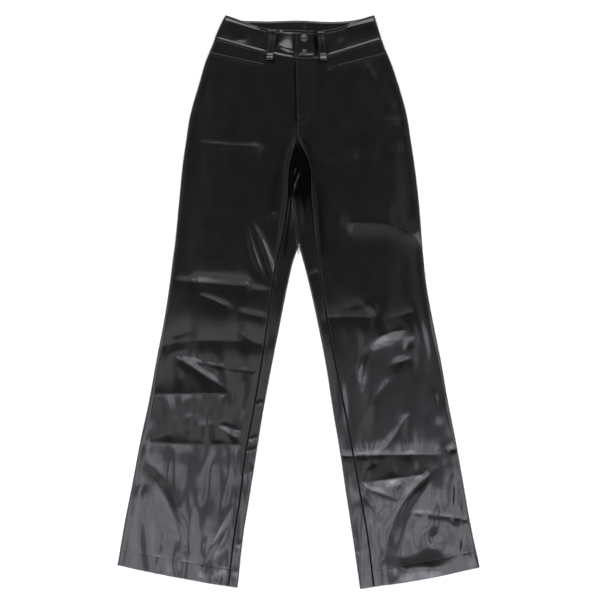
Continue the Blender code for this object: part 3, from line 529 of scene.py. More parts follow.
def add_piece(name, points, quads, materials, inside=None, node=None):
    """A finished piece from points in millimetres, its painted shade zero. It stands for its frame node.
    """
    placed = (points - np.array([ORIGIN_X, ORIGIN_Y, 0.0])) * MILLIMETRE
    mesh = bpy.data.meshes.new(name)
    mesh.from_pydata(placed.tolist(), [], quads if isinstance(quads, list) else quads.tolist())
    for material in materials:
        mesh.materials.append(material)
    if inside is not None:
        mesh.polygons.foreach_set("material_index", np.asarray(inside, dtype=np.int32))
    mesh.shade_smooth()
    mesh.attributes.new("shade", "FLOAT", "POINT")
    mesh.update()
    item = bpy.data.objects.new(name, mesh)
    bpy.context.scene.collection.objects.link(item)
    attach(item, "root")
    if node:
        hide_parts(node)
    return item


def wall(name, patches, materials, outward, node, shades=None, in_line=3):
    """A closed skin: outer points, inner points moved in along the joined normals, and a strip of
    quads round every free edge. Its painted shade is the sum of its rows, on the upper side only. The
    first patches, as many as lie in line, give the cut's length."""
    points = np.concatenate([grid.reshape(-1, 3) for grid, normals, depth in patches])
    normals = np.concatenate([normals.reshape(-1, 3) for grid, normals, depth in patches])
    depths = np.concatenate([depth.ravel() for grid, normals, depth in patches])
    unique, first, index = np.unique(
        np.round(points, WELD_DIGITS), axis=0, return_index=True, return_inverse=True
    )
    index = index.ravel()
    summed = np.zeros_like(unique)
    np.add.at(summed, index, normals * outward)
    summed /= np.linalg.norm(summed, axis=1, keepdims=True)
    outer = points[first]
    inner = outer - summed * depths[first][:, None]
    quads = []
    start = 0
    for grid, grid_normals, depth in patches:
        quads.append(grid_quads(index[start:start + depth.size].reshape(depth.shape)))
        start += depth.size
    quads = np.concatenate(quads)
    if outward < 0:
        quads = quads[:, ::-1]
    edges = np.stack([quads, np.roll(quads, -1, axis=1)], axis=-1).reshape(-1, 2)
    size = len(unique)
    free = edges[~np.isin(edges[:, 0] * size + edges[:, 1], edges[:, 1] * size + edges[:, 0])]
    sides = np.stack([free[:, 1], free[:, 0], free[:, 0] + size, free[:, 1] + size], axis=1)
    faces = np.concatenate([quads, quads[:, ::-1] + size, sides])
    inside = np.concatenate([np.zeros(len(quads)), np.ones(len(quads)), np.zeros(len(sides))])
    if len(materials) == 1:
        inside = None
    item = add_piece(name, np.concatenate([outer, inner]), faces, materials, inside, node)
    if shades is not None:
        # Painted shade: the leather reads this attribute to darken its colour and drop its coat where
        # shade falls.
        shade = np.clip(crease_height(outer[:, 0], outer[:, 1], shades), 0.0, 1.0)
        shade = shade * (outer[:, 2] > UPPER_SIDE)
        item.data.attributes["shade"].data.foreach_set("value", np.concatenate([shade, shade]))
    width, length, area = cut_size(patches, in_line)
    print(f"{name}: {len(faces) * 2} triangles, cut {width:.3f} x {length:.3f} m, {area:.4f} m2")
    return item


# %% [markdown]
# ## Tools for finishes
# Each finish is a principled shader with plain values, and noise, cells or waves in object
# coordinates, which never repeat or stretch as a picture would. These helpers make one node each,
# so that a finish reads as a list of what it is made of.

# %% Helpers for materials
def new_material(name, colour, roughness, metallic=0.0, coat=0.0, coat_roughness=0.1, specular=0.5):
    """A principled material with its plain values, and its nodes, links and shader."""
    material = bpy.data.materials.new(name)
    material.use_nodes = True
    tree = material.node_tree
    shader = tree.nodes["Principled BSDF"]
    shader.inputs["Base Color"].default_value = (*colour, 1.0)
    shader.inputs["Roughness"].default_value = roughness
    shader.inputs["Metallic"].default_value = metallic
    shader.inputs["Coat Weight"].default_value = coat
    shader.inputs["Coat Roughness"].default_value = coat_roughness
    shader.inputs["Specular IOR Level"].default_value = specular
    return material, tree, shader


def add_node(tree, kind, **values):
    """A node of a kind, with its properties and inputs set by name."""
    node = tree.nodes.new(kind)
    for key, value in values.items():
        if key in node.inputs:
            node.inputs[key].default_value = value
        else:
            setattr(node, key, value)
    return node


def object_noise(tree, scale, detail=4.0, rough=0.55):
    """Noise in object coordinates, in cells of one over scale metres."""
    place = add_node(tree, "ShaderNodeTexCoord")
    noise = add_node(tree, "ShaderNodeTexNoise", Scale=scale, Detail=detail, Roughness=rough)
    tree.links.new(place.outputs["Object"], noise.inputs["Vector"])
    return noise


def object_waves(tree, scale, direction, distortion=0.0):
    """Sine bands in object coordinates, set across a direction."""
    place = add_node(tree, "ShaderNodeTexCoord")
    waves = add_node(
        tree, "ShaderNodeTexWave", Scale=scale, Distortion=distortion, bands_direction=direction
    )
    tree.links.new(place.outputs["Object"], waves.inputs["Vector"])
    return waves


def ramp(tree, factor, low, high, start=0.3, end=0.7):
    """A ramp from one colour to another over a part of a factor. A single number is a grey."""
    node = add_node(tree, "ShaderNodeValToRGB")
    for stop, at, colour in zip(node.color_ramp.elements, (start, end), (low, high)):
        stop.position = at
        stop.color = (*colour, 1.0) if isinstance(colour, tuple) else (colour, colour, colour, 1.0)
    tree.links.new(factor, node.inputs["Fac"])
    return node


def vary(tree, shader, socket, noise, low, high, start=0.3, end=0.7):
    """Leads a noise through a ramp into a socket of the shader."""
    between = ramp(tree, noise.outputs["Fac"], low, high, start, end)
    tree.links.new(between.outputs["Color"], shader.inputs[socket])


def add_bump(tree, shader, layers):
    """Bumps in a row, each one a height, its size in metres and its strength."""
    last = None
    for height, distance, strength in layers:
        bump = add_node(tree, "ShaderNodeBump", Strength=strength, Distance=distance)
        tree.links.new(height, bump.inputs["Height"])
        if last is not None:
            tree.links.new(last.outputs["Normal"], bump.inputs["Normal"])
        last = bump
    tree.links.new(last.outputs["Normal"], shader.inputs["Normal"])
    if shader.inputs["Coat Weight"].default_value > 0:
        tree.links.new(last.outputs["Normal"], shader.inputs["Coat Normal"])


# %% [markdown]
# ## The coated leather and its backing
# Under a lamp the coating shows two things: a deep black body and a clear film of gloss on it. So
# its shader has a dark, fairly rough base under a thin coat, and a fine pebbled grain as bump. The
# pieces carry an attribute called shade, which is painted shade: where shade falls it darkens the
# colour and takes the gloss away. The inside is a matt knitted backing.

# %% Leather and backing
def coated_leather():
    """Black coating: mottled near-black, roughness from 0.32 to 0.42, pebbles of 0.9 mm. The shade
    attribute is painted shade: as it goes from 0 to 1 its colour goes to black and its coat to nothing."""
    material, tree, shader = new_material(
        "black_coated_leather", (0.008, 0.008, 0.009), 0.37,
        coat=1.0, coat_roughness=0.145, specular=0.03,
    )
    mottle = object_noise(tree, 38.0)
    colour = ramp(tree, mottle.outputs["Fac"], (0.0037, 0.0036, 0.0036), (0.0057, 0.0056, 0.0055))
    # Painted shade: the shade attribute mixes the colour towards near-black and takes the coat away.
    shade = add_node(tree, "ShaderNodeAttribute", attribute_name="shade")
    painted_shade_colour = add_node(tree, "ShaderNodeMixRGB", Color2=(0.0003, 0.0003, 0.0003, 1))
    tree.links.new(shade.outputs["Fac"], painted_shade_colour.inputs["Fac"])
    tree.links.new(colour.outputs["Color"], painted_shade_colour.inputs["Color1"])
    tree.links.new(painted_shade_colour.outputs["Color"], shader.inputs["Base Color"])
    open_to_light = add_node(tree, "ShaderNodeMath", operation="SUBTRACT")
    open_to_light.inputs[0].default_value = 1.0
    tree.links.new(shade.outputs["Fac"], open_to_light.inputs[1])
    tree.links.new(open_to_light.outputs["Value"], shader.inputs["Coat Weight"])
    vary(tree, shader, "Roughness", object_noise(tree, 95.0, 6.0, 0.6), 0.32, 0.42)
    place = add_node(tree, "ShaderNodeTexCoord")
    pebbles = add_node(tree, "ShaderNodeTexVoronoi", Scale=1100.0, feature="SMOOTH_F1", Smoothness=0.6)
    tree.links.new(place.outputs["Object"], pebbles.inputs["Vector"])
    pores = object_noise(tree, 2600.0, 2.0)
    waves = object_noise(tree, 130.0, 2.0, 0.4)
    add_bump(tree, shader, (
        (waves.outputs["Fac"], 0.0009, 0.03),
        (pebbles.outputs["Distance"], 0.00008, 0.07),
        (pores.outputs["Fac"], 0.00004, 0.05),
    ))
    return material


def knitted_backing():
    """Matt black backing: fine rows of loops as two crossed waves."""
    material, tree, shader = new_material("knitted_backing", (0.014, 0.014, 0.015), 0.85, specular=0.2)
    fibre = object_noise(tree, 900.0)
    vary(tree, shader, "Base Color", fibre, (0.008, 0.008, 0.009), (0.022, 0.022, 0.024))
    rows = object_waves(tree, 420.0, "X", 2.0)
    loops = object_waves(tree, 300.0, "Y", 1.5)
    add_bump(tree, shader, ((rows.outputs["Fac"], 0.00015, 0.5), (loops.outputs["Fac"], 0.00012, 0.4)))
    return material


leather = coated_leather()
backing = knitted_backing()
print("finishes:", leather.name, backing.name)

# %% [markdown]
# ## The two fronts
# A front runs from the side seam, half way round the side fold, over the top to the inseam below
# the crotch and to the centre front above it. Its top edge is the waist seam in the middle and
# the pocket's turned edge at the side. Beside the crotch its edge rolls up, and towards the hem
# its side fold stands a little proud.

# %% Surface of a front
WALL = 1.2
HEM_FOLD = 1.2
HEM_DEPTH = 31.0
POCKET_LEVEL = 434.0
FLY_PROUD = 1.2
FLY_REACH = 34.0
FLY_SINK = 1.1
FLY_SINK_REACH = 1.3
SIDE_ROLL = 0.7
SIDE_ROLL_AT = 6.5
SIDE_ROLL_REACH = 3.2
SIDE_ROLL_LEAST = 0.35
SIDE_ROLL_FADE = 120.0
CROTCH_ROLL = 1.5
CROTCH_ROLL_REACH = 6.5
CROTCH_TROUGH = 0.6
CROTCH_TROUGH_AT = 30.0
CROTCH_TROUGH_REACH = 13.0
CROTCH_ROLL_FROM = 40.0
CROTCH_ROLL_GROWS = 130.0
CROTCH_ROLL_PAST = 30.0
CROTCH_ROLL_ENDS = 60.0
HEM_ROLL = 0.7
HEM_ROLL_REACH = 1.6
HEM_DITCH = 0.14
HEM_DITCH_REACH = 1.8
NO_POCKET = 99.0
POCKET_END_GAP = 2.0
FRONT_BAND_SEAM = {
    "x": np.array([-159.0, -64.5, -6.7, 41.3, 59.3, 161.0]),
    "y": np.array([505.5, 480.0, 468.1, 468.1, 473.0, 504.0]),
}
RIGHT_POCKET = {"x": np.array([-166.5, -64.5]), "y": np.array([480.0, 457.5]), "end_x": -64.0}
LEFT_POCKET = {"x": np.array([60.5, 168.0]), "y": np.array([451.8, 479.5]), "end_x": 60.0}


def hem_relief(leg, level):
    """The turned hem: a quarter roll at its edge and a bell-shaped ditch along its stitches."""
    up = level - leg["level"][0]
    edge = -HEM_ROLL * np.clip(1 - up / HEM_ROLL_REACH, 0.0, 1.0) ** 2
    ditch = -HEM_DITCH * np.exp(-(((up - HEM_DEPTH) / HEM_DITCH_REACH) ** 2))
    return edge + ditch


def mouth_distance(pocket, x, y):
    """Distance below the pocket's turned edge, and a large one away from the pocket."""
    edge = np.interp(x, pocket["x"], pocket["y"])
    beside = np.abs(x) < abs(pocket["end_x"]) - POCKET_END_GAP
    return np.where(beside, NO_POCKET, edge - y)


def crotch_relief(level, to_edge):
    """Beside the crotch the front's edge rolls up, with a soft trough next to the roll: a bell
    curve less a wider one, growing up the thigh and ending above the crotch."""
    near = smoothstep((level - CROTCH_ROLL_FROM) / CROTCH_ROLL_GROWS)
    near = near * smoothstep((CROTCH_LEVEL + CROTCH_ROLL_PAST - level) / CROTCH_ROLL_ENDS)
    roll = CROTCH_ROLL * np.exp(-((to_edge / CROTCH_ROLL_REACH) ** 2))
    trough = CROTCH_TROUGH * np.exp(-(((to_edge - CROTCH_TROUGH_AT) / CROTCH_TROUGH_REACH) ** 2))
    return near * (roll - trough)


def front_surface(leg, pocket, fly_lap=0.0):
    """Outer face of a front. Wrap 0 to 1 is a quarter of the side fold, wrap 1 to 2 runs across
    to the inner edge. Height: the front's height, plus its edges, times the fold's roundness."""

    def surface(level, wrap):
        front_end = section(leg, level).front_end
        angle = np.clip(wrap, -1.0, 1.0) * math.pi / 2
        across = EDGE_RADIUS + (wrap - 1) * (front_end - EDGE_RADIUS)
        distance = np.where(wrap < 1, EDGE_RADIUS * (1 - np.cos(angle)), across)
        roundness = np.where(wrap < 1, np.sin(angle), 1.0)
        x, y = lay_point(leg, level, distance)
        to_edge = np.maximum(front_end - distance, 0.0)
        above_crotch = smoothstep((level - CROTCH_LEVEL) / FLY_REACH)
        proud = FRONT_EDGE_PROUD * smoothstep(1 - to_edge / FRONT_EDGE_REACH)
        proud = proud + crotch_relief(level, to_edge)
        inseam = seam_dip(to_edge) * (1 - above_crotch)
        if fly_lap > 0:
            lap = fly_lap * smoothstep(1 - to_edge / FLY_REACH) * above_crotch
            lap = lap + turned_edge(to_edge) * above_crotch
        else:
            lap = -FLY_SINK * np.clip(1 - to_edge / FLY_SINK_REACH, 0.0, 1.0) * above_crotch
        side = SIDE_ROLL * np.exp(-(((distance - SIDE_ROLL_AT) / SIDE_ROLL_REACH) ** 2))
        below_knee = smoothstep((KNEE_LEVEL - level) / SIDE_ROLL_FADE)
        side = side * (SIDE_ROLL_LEAST + (1 - SIDE_ROLL_LEAST) * below_knee)
        mouth = turned_edge(np.maximum(mouth_distance(pocket, x, y), 0.0))
        top = front_height(leg, level, distance) + proud + inseam + lap + side + mouth
        top = top + hem_relief(leg, level)
        z = middle(y) + (top - middle(y)) * roundness
        return np.stack([x, y, z], axis=-1)

    return surface


side_fold = front_surface(RIGHT_LEG, RIGHT_POCKET)(np.array([KNEE_LEVEL]), np.array([0.0]))[0]
print(f"side fold at the right knee: x {side_fold[0]:.1f} mm, height {side_fold[2]:.1f} mm")

# %% [markdown]
# ## Rows and columns
# A grid needs its points where the form is fine, and few elsewhere. Rows crowd at the hem's edge
# and stitches and all down the creased lower leg, and columns crowd towards the sewn edges. At a
# pocket and at the waist seam the last rows are bent to meet a line that isn't level: each
# column's level is corrected until its point lies on that line.

# %% Rows and columns of a leg
FOLD_STEPS = 6
LOWER_ROWS = 240
MIDDLE_ROWS = 84
UPPER_ROWS = 30
HEM_EDGE_ROWS = (0.0, 0.4, 0.8, 1.2, 1.8, 3.0)
HEM_ROWS_FROM = 5.0
HEM_ROWS_PAST = 6.0
CORRECTIONS = 8


def close_to_ends(count, start, end, crowd):
    """Numbers from start to end that crowd towards the end: share less crowd times a sine."""
    share = np.linspace(0.0, 1.0, count)
    eased = share + crowd * np.sin(math.pi * share) / math.pi
    return start + (end - start) * eased


def leg_levels(leg, top_level):
    """Rows from hem to a level: close at the hem's edge and stitches, then below the knee."""
    hem = leg["level"][0]
    edge = hem + np.array(HEM_EDGE_ROWS)
    turned = hem + np.arange(HEM_ROWS_FROM, HEM_DEPTH + HEM_ROWS_PAST, 1.0)
    lower = np.linspace(turned[-1], KNEE_LEVEL, LOWER_ROWS)[1:]
    upper = np.linspace(KNEE_LEVEL, CROTCH_LEVEL, MIDDLE_ROWS)[1:]
    waist = np.linspace(CROTCH_LEVEL, top_level, UPPER_ROWS)[1:]
    return np.concatenate([edge, turned, lower, upper, waist])


def hem_thickness(leg, levels):
    """Cloth thickness: doubled up to the hem stitches."""
    turned = levels < leg["level"][0] + HEM_DEPTH
    return np.where(turned, WALL + HEM_FOLD, WALL)[:, None]


def fold_wraps(radius, steps=FOLD_STEPS):
    """Wraps round a quarter fold, from half a seam gap beside its middle."""
    start = math.asin(SEAM_GAP / 2 / radius) / (math.pi / 2)
    return np.linspace(start, 1.0, steps + 1)


def level_at(wraps, surface, edge):
    """Levels at which the columns of a surface meet an edge, by repeated correction."""
    levels = np.full(len(wraps), POCKET_LEVEL)
    for correction in range(CORRECTIONS):
        reached = surface(levels, wraps)
        levels = levels + edge(reached[:, 0]) - reached[:, 1]
    return levels


def band_seam_edge(x):
    """Height of the waist seam, less half the seam gap."""
    return smooth_curve(x, FRONT_BAND_SEAM["x"], FRONT_BAND_SEAM["y"]) - SEAM_GAP / 2


def pocket_edge(pocket, below=0.0):
    """A pocket's edge, or a line below it, as heights over x."""
    return lambda x: np.interp(x, pocket["x"], pocket["y"]) - below


print("rows from hem to pocket:", len(leg_levels(RIGHT_LEG, POCKET_LEVEL)))

# %% [markdown]
# ## Cutting the fronts
# A front is two patches. The body runs up to the pocket's level, and the head's rows spread until
# the last one lies on the pocket's edge and on the waist seam.

# %% Front panels
FRONT_COLUMNS = 84
FRONT_CROWD = 0.85
SEAM_CROWD = 0.75
HEAD_ROWS = 16
HEAD_CROWD = 0.9
POCKET_CORNER = 0.006
POCKET_MIDDLE = POCKET_LEVEL + 20.0


def wrap_at(leg, pocket, past=0.0):
    """Wrap of a front at which its pocket ends, or a distance past it."""
    cut = section(leg, POCKET_MIDDLE)
    distance = abs(pocket["end_x"] - cut.outer_x) + past
    return 1 + (distance - EDGE_RADIUS) / (cut.front_end - EDGE_RADIUS)


def front_panel(leg, name, node, pocket, fly_lap):
    """A front: the rows of the leg, then a head that spreads to the waist seam and the pocket."""
    outward = 1 if leg is RIGHT_LEG else -1
    surface = front_surface(leg, pocket, fly_lap)
    side = fold_wraps(EDGE_RADIUS)
    across = close_to_ends(FRONT_COLUMNS, 1.0, 2.0, FRONT_CROWD)[1:]
    wraps = np.concatenate([side, across])
    levels = leg_levels(leg, POCKET_LEVEL)
    body = patch(surface, levels, wraps, hem_thickness(leg, levels))
    pocket_wrap = wrap_at(leg, pocket)
    mouth_columns = int(np.sum(across < pocket_wrap))
    at_mouth = np.linspace(1.0, pocket_wrap, mouth_columns + 1)[1:]
    seam_columns = len(across) - mouth_columns
    at_seam = close_to_ends(seam_columns, pocket_wrap + POCKET_CORNER, 2.0, SEAM_CROWD)
    top_wraps = np.concatenate([side, at_mouth, at_seam])
    turn = len(side) + mouth_columns
    top_levels = np.concatenate([
        level_at(top_wraps[:turn], surface, pocket_edge(pocket)),
        level_at(top_wraps[turn:], surface, band_seam_edge),
    ])
    share = close_to_ends(HEAD_ROWS, 0.0, 1.0, HEAD_CROWD)[:, None]
    rows = POCKET_LEVEL + share * (top_levels - POCKET_LEVEL)
    spread = wraps + share * (top_wraps - wraps)
    head = patch(surface, rows, spread, WALL)
    return wall(name, [body, head], [leather, backing], outward, node, FRONT_SHADES)


front_panel(RIGHT_LEG, "front_right_cloth", "front_right", RIGHT_POCKET, 0.0)
front_panel(LEFT_LEG, "front_left_cloth", "front_left", LEFT_POCKET, FLY_PROUD)

# %% [markdown]
# ## The two backs
# A back is the same tube seen from behind: the lower half of the side fold, the flat underside,
# the inner fold and the strip that shows beside the inseam. Between the legs the two strips run
# up as tongues that sink into the crotch and meet at the seam of the seat.

# %% Surface of a back
FORK_OPENING = 6.0
VALLEY_FADE = 60.0
VALLEY_DEPTH = 2.8
VALLEY_SLOPE = 0.3
SEAT_ROLL = 1.0
SEAT_ROLL_AT = 1.2
SEAT_ROLL_REACH = 1.6
BACK_RISE = {
    "level": np.array([109.0, 125.0, 165.0, 205.0, 240.0, 266.0, 313.7]),
    "x": np.array([1.7, -0.6, -6.0, -9.2, -9.6, -6.0, -1.7]),
}
BACK_BAND_SEAM = {
    "x": np.array([-159.0, -80.0, 13.0, 90.0, 161.0]),
    "y": np.array([505.5, 488.0, 483.0, 487.5, 504.0]),
}


def back_surface(leg):
    """Outer face of a back. Wrap 0 to 1: side fold; 1 to 2: underside; 2 to 4: inner fold; 4 to 5:
    strip up to the inseam. Above the fork the fold is gone and the strip is a tongue."""

    def surface(level, wrap):
        cut = section(leg, level)
        opened = smoothstep((level - FORK_LEVEL) / FORK_OPENING)
        rise_x = np.interp(level, BACK_RISE["level"], BACK_RISE["x"])
        rise = (rise_x - cut.outer_x) / cut.run - SEAM_GAP / 2
        inner_start = cut.length - EDGE_RADIUS
        under_end = inner_start + EDGE_RADIUS * opened
        strip_start = inner_start + (rise - inner_start) * opened
        strip_end = cut.front_end + SEAM_GAP
        side_angle = np.clip(wrap, -1.0, 1.0) * math.pi / 2
        fold_angle = np.clip(wrap - 2, 0.0, 2.0) * math.pi / 2
        on_strip = np.clip(wrap - 4, 0.0, 1.0)
        distance = np.select(
            [wrap < 1, wrap <= 2, wrap < 4],
            [
                EDGE_RADIUS * (1 - np.cos(side_angle)),
                EDGE_RADIUS + (wrap - 1) * (under_end - EDGE_RADIUS),
                inner_start + EDGE_RADIUS * np.sin(fold_angle),
            ],
            strip_start + on_strip * (strip_end - strip_start),
        )
        x, y = lay_point(leg, level, distance)
        half_width = np.abs(strip_start - strip_end)
        depth = np.minimum(VALLEY_DEPTH, VALLEY_SLOPE * half_width)
        depth = depth * smoothstep((level - FORK_LEVEL) / VALLEY_FADE)
        sink = STRIP_SINK * smoothstep(on_strip) + depth * smoothstep(1 - on_strip)
        from_rise = on_strip * half_width
        seat = SEAT_ROLL * opened * np.exp(-((from_rise - SEAT_ROLL_AT) / SEAT_ROLL_REACH) ** 2)
        inseam = seam_dip((1 - on_strip) * half_width) * smoothstep(on_strip * 4)
        top = front_height(leg, level, distance) - sink + seat + inseam + hem_relief(leg, level)
        underside = lift(y)
        upper = middle(y) + (top - middle(y)) * -np.cos(fold_angle)
        lower = middle(y) + (underside - middle(y)) * np.cos(fold_angle)
        fold_z = np.where(fold_angle > math.pi / 2, upper, lower)
        side_z = middle(y) + (underside - middle(y)) * np.sin(side_angle)
        z = np.select([wrap < 1, wrap <= 2, wrap < 4], [side_z, underside, fold_z], top)
        return np.stack([x, y, z], axis=-1)

    return surface


inner_fold = back_surface(RIGHT_LEG)(np.array([KNEE_LEVEL]), np.array([3.0]))[0]
print(f"inner fold at the right knee: x {inner_fold[0]:.1f} mm, height {inner_fold[2]:.1f} mm")

# %% [markdown]
# ## Sewing a back together
# Above the fork the tube opens, so one grid can't cover a back. It is four patches with shared
# edges instead: the leg, the seat, the yoke up to the waist seam and the tongue in the crotch.

# %% Back panels
UNDER_COLUMNS = 14
STRIP_COLUMNS = 34
STRIP_CROWD = 0.7
TONGUE_END = 2.0
YOKE_ROWS = 12


def back_seam_edge(x):
    """Height of the back's waist seam, less half the seam gap."""
    return smooth_curve(x, BACK_BAND_SEAM["x"], BACK_BAND_SEAM["y"]) - SEAM_GAP / 2


def back_panel(leg, name, node):
    """A back: leg, seat and tongue as patches that share their edges, and the yoke up to the
    waist seam."""
    outward = -1 if leg is RIGHT_LEG else 1
    surface = back_surface(leg)
    side = fold_wraps(EDGE_RADIUS)
    under = np.linspace(1.0, 2.0, UNDER_COLUMNS + 1)[1:]
    fold = np.linspace(2.0, 4.0, 2 * FOLD_STEPS + 1)[1:]
    strip = close_to_ends(STRIP_COLUMNS + 1, 4.0, 5.0, STRIP_CROWD)[1:]
    levels = leg_levels(leg, POCKET_LEVEL)
    levels = np.sort(np.append(levels, [FORK_LEVEL, FORK_LEVEL + FORK_OPENING]))
    lower = levels[levels <= FORK_LEVEL]
    upper = levels[levels >= FORK_LEVEL]
    tongue = upper[upper < CROTCH_LEVEL - TONGUE_END]
    leg_wraps = np.concatenate([side, under, fold, strip])
    legs = patch(surface, lower, leg_wraps, hem_thickness(leg, lower))
    seat = patch(surface, upper, np.concatenate([side, under]), WALL)
    crotch = patch(surface, tongue, np.concatenate([fold[-1:], strip]), WALL)
    top_wraps = np.concatenate([side, under])
    top_levels = level_at(top_wraps, surface, back_seam_edge)
    rows = POCKET_LEVEL + np.linspace(0.0, 1.0, YOKE_ROWS)[:, None] * (top_levels - POCKET_LEVEL)
    yoke = patch(surface, rows, top_wraps, WALL)
    return wall(name, [legs, seat, yoke, crotch], [leather, backing], outward, node, shades=BACK_SHADES)


back_panel(RIGHT_LEG, "back_right_cloth", "back_right")
back_panel(LEFT_LEG, "back_left_cloth", "back_left")

# %% [markdown]
# ## The facings in the pockets
# Behind each pocket's edge lies a facing, cut from the same leather and set one wall lower. It is
# the front's own surface, moved in along its normals, so it never cuts through the front.

# %% Pocket facings
FACING_WALL = 1.0
FACING_ROWS = 24
FACING_COLUMNS = 60
POCKET_UNDERLAP = 12.0
FAR_UP = 900.0


def pocket_facing(leg, name, node, pocket):
    """The front's surface between the waist seam and a line below the pocket's edge, moved in. The
    pocket's turned edge is sent far up, so that it leaves no mark on the facing."""
    outward = 1 if leg is RIGHT_LEG else -1
    surface = front_surface(leg, {**pocket, "y": pocket["y"] + FAR_UP})
    end_wrap = wrap_at(leg, pocket, POCKET_UNDERLAP)
    wraps = np.concatenate([fold_wraps(EDGE_RADIUS), np.linspace(1.0, end_wrap, FACING_COLUMNS)[1:]])
    seam_levels = level_at(wraps, surface, band_seam_edge)
    foot = level_at(wraps, surface, pocket_edge(pocket, POCKET_UNDERLAP))
    rows = foot + np.linspace(0.0, 1.0, FACING_ROWS)[:, None] * (seam_levels - foot)
    points, normals, thickness = patch(surface, rows, wraps, FACING_WALL)
    sunk = points - normals * outward * (WALL + SEAM_GAP)
    return wall(name, [(sunk, normals, thickness)], [leather, backing], outward, node)


pocket_facing(RIGHT_LEG, "pocket_facing_right_cloth", "pocket_facing_right", RIGHT_POCKET)
pocket_facing(LEFT_LEG, "pocket_facing_left_cloth", "pocket_facing_left", LEFT_POCKET)

# %% [markdown]
# ## The waistband
# The band is a double strip, folded at its top and sewn to the waist seam, with a row of stitches
# along each edge. Its left half laps over the right half and is held by two snaps. It puckers a
# little between its belt loops, which catches the light.

# %% Surface of the waistband
BAND_WALL = 2.2
BAND_PROUD = 0.9
BAND_RADIUS = EDGE_RADIUS + BAND_PROUD
BAND_SIDES = {"seam": 505.0, "top": WAIST_TOP}
OPENING_X = -6.7
LAP_END_X = 26.0
LAP_CLEAR = 1.6
LAP_SLOPE = 11.0
LAP_LIFT = BAND_WALL + SEAM_GAP
CENTRE_BACK_X = 13.1
BAND_HALF_ROWS = 18
BAND_CROWD = 0.85
FRONT_BAND_COLUMNS = 110
LAPPED_CROWD = 0.75
BACK_BAND_COLUMNS = 50
BACK_BAND_CROWD = 0.6
FRONT_BAND_TOP = {
    "x": np.array([-139.2, -61.2, -6.7, 32.8, 79.3, 112.3, 146.6]),
    "y": np.array([551.0, 525.3, 522.0, 520.3, 527.0, 540.1, 551.0]),
}
BACK_BAND_TOP = {
    "x": np.array([-139.2, -123.8, -79.7, 13.1, 52.8, 102.3, 146.6]),
    "y": np.array([551.0, 544.4, 540.4, 541.2, 539.0, 541.2, 551.0]),
}
BAND_CREASES = columns(CREASE_COLUMNS, (
    (-43.2, 492.5, 3.8, 477.1, 0, 3.8, 17, 3, 1),
    (-38.4, 516.5, -26.9, 517.4, 0, 1.2, 3, 3, 1),
    (-145, 542, -69.1, 520.3, 0, 1.2, 3.4, 6, 0.6),
    (88, 525, 159, 542, 0, 1.8, 5, 6, 0.8),
    (-59.5, 520.3, -52.8, 521.3, 0, 1.2, 2.5, 2.5, 1),
    (-152, 506, -61, 479, 0, 0.9, 4, 2.2, 0.5),
    (-49.9, 476.2, -7.7, 469.4, 0, 1, 4, 2.2, 0.5),
    (-6.7, 471.4, 40.3, 471.4, 0, 1, 4, 2.2, 0.5),
    (56, 474, 163, 506, 0, 1.1, 4, 2.2, 0.5),
    (76.8, 475.2, 90.2, 511.7, 3, 0.8, 5, 6, 1.5),
    (-130.6, 500.2, -88.3, 509.8, 0, -0.8, 8, 8, 3),
))


def band_face(x, y):
    """Height of the front band: folded edge, radius, lap and puckers."""
    lapped = (x > OPENING_X) * (1 - smoothstep((x - LAP_END_X - LAP_CLEAR) / LAP_SLOPE))
    return middle(y) + BAND_RADIUS + LAP_LIFT * lapped + crease_height(x, y, BAND_CREASES)


def band_surface(leg, seam, top, end_x, upper, lapped=False):
    """Outer face of a piece of band. Level 0 is its seam and level 1 its top edge; the wrap runs
    from the side seam round the fold and on to the band's end."""

    def surface(level, wrap):
        side_y = BAND_SIDES["seam"] + level * (BAND_SIDES["top"] - BAND_SIDES["seam"])
        outer_x = smooth_curve(side_y, leg["level"], leg["outer_x"])
        inward = -np.sign(outer_x)
        length = np.abs(end_x - outer_x)
        angle = np.clip(wrap, -1.0, 1.0) * math.pi / 2
        across = BAND_RADIUS + (wrap - 1) * (length - BAND_RADIUS)
        distance = np.where(wrap < 1, BAND_RADIUS * (1 - np.cos(angle)), across)
        roundness = np.where(wrap < 1, np.sin(angle), 1.0)
        x = outer_x + inward * distance
        seam_y = smooth_curve(x, seam["x"], seam["y"]) + SEAM_GAP / 2
        top_y = smooth_curve(x, top["x"], top["y"])
        y = seam_y + level * (top_y - seam_y)
        edges = turned_edge(level * (top_y - seam_y)) + turned_edge((1 - level) * (top_y - seam_y))
        face = BAND_RADIUS + edges
        if upper > 0:
            face = face + crease_height(x, y, BAND_CREASES)
        if lapped:
            face = face + LAP_LIFT * (1 - smoothstep((x - LAP_END_X - LAP_CLEAR) / LAP_SLOPE))
            face = face + turned_edge(np.maximum(length - distance, 0.0))
        return np.stack([x, y, middle(y) + upper * face * roundness], axis=-1)

    return surface


band_top, band_foot = (
    smooth_curve(CENTRE_BACK_X, line["x"], line["y"]) for line in (BACK_BAND_TOP, BACK_BAND_SEAM)
)
print(f"depth of the band at the centre back: {band_top - band_foot:.1f} mm")

# %% [markdown]
# ## The four pieces of the band
# The two fronts are longer than their share, because the left one laps over the right one, which
# runs on under it. The two backs meet at the centre back.

# %% Pieces of the waistband
def band_rows():
    """Rows over a band's height, close to both edges."""
    half = close_to_ends(BAND_HALF_ROWS, 0.5, 1.0, BAND_CROWD)
    return np.concatenate([1 - half[::-1], half[1:]])


def band_piece(name, node, surface, outward, steps, crowd):
    """One piece of band from its side seam to its end."""
    wraps = np.concatenate([fold_wraps(BAND_RADIUS), close_to_ends(steps, 1.0, 2.0, crowd)[1:]])
    grid = patch(surface, band_rows(), wraps, BAND_WALL)
    return wall(name, [grid], [leather], outward, node, shades=BAND_SHADES)


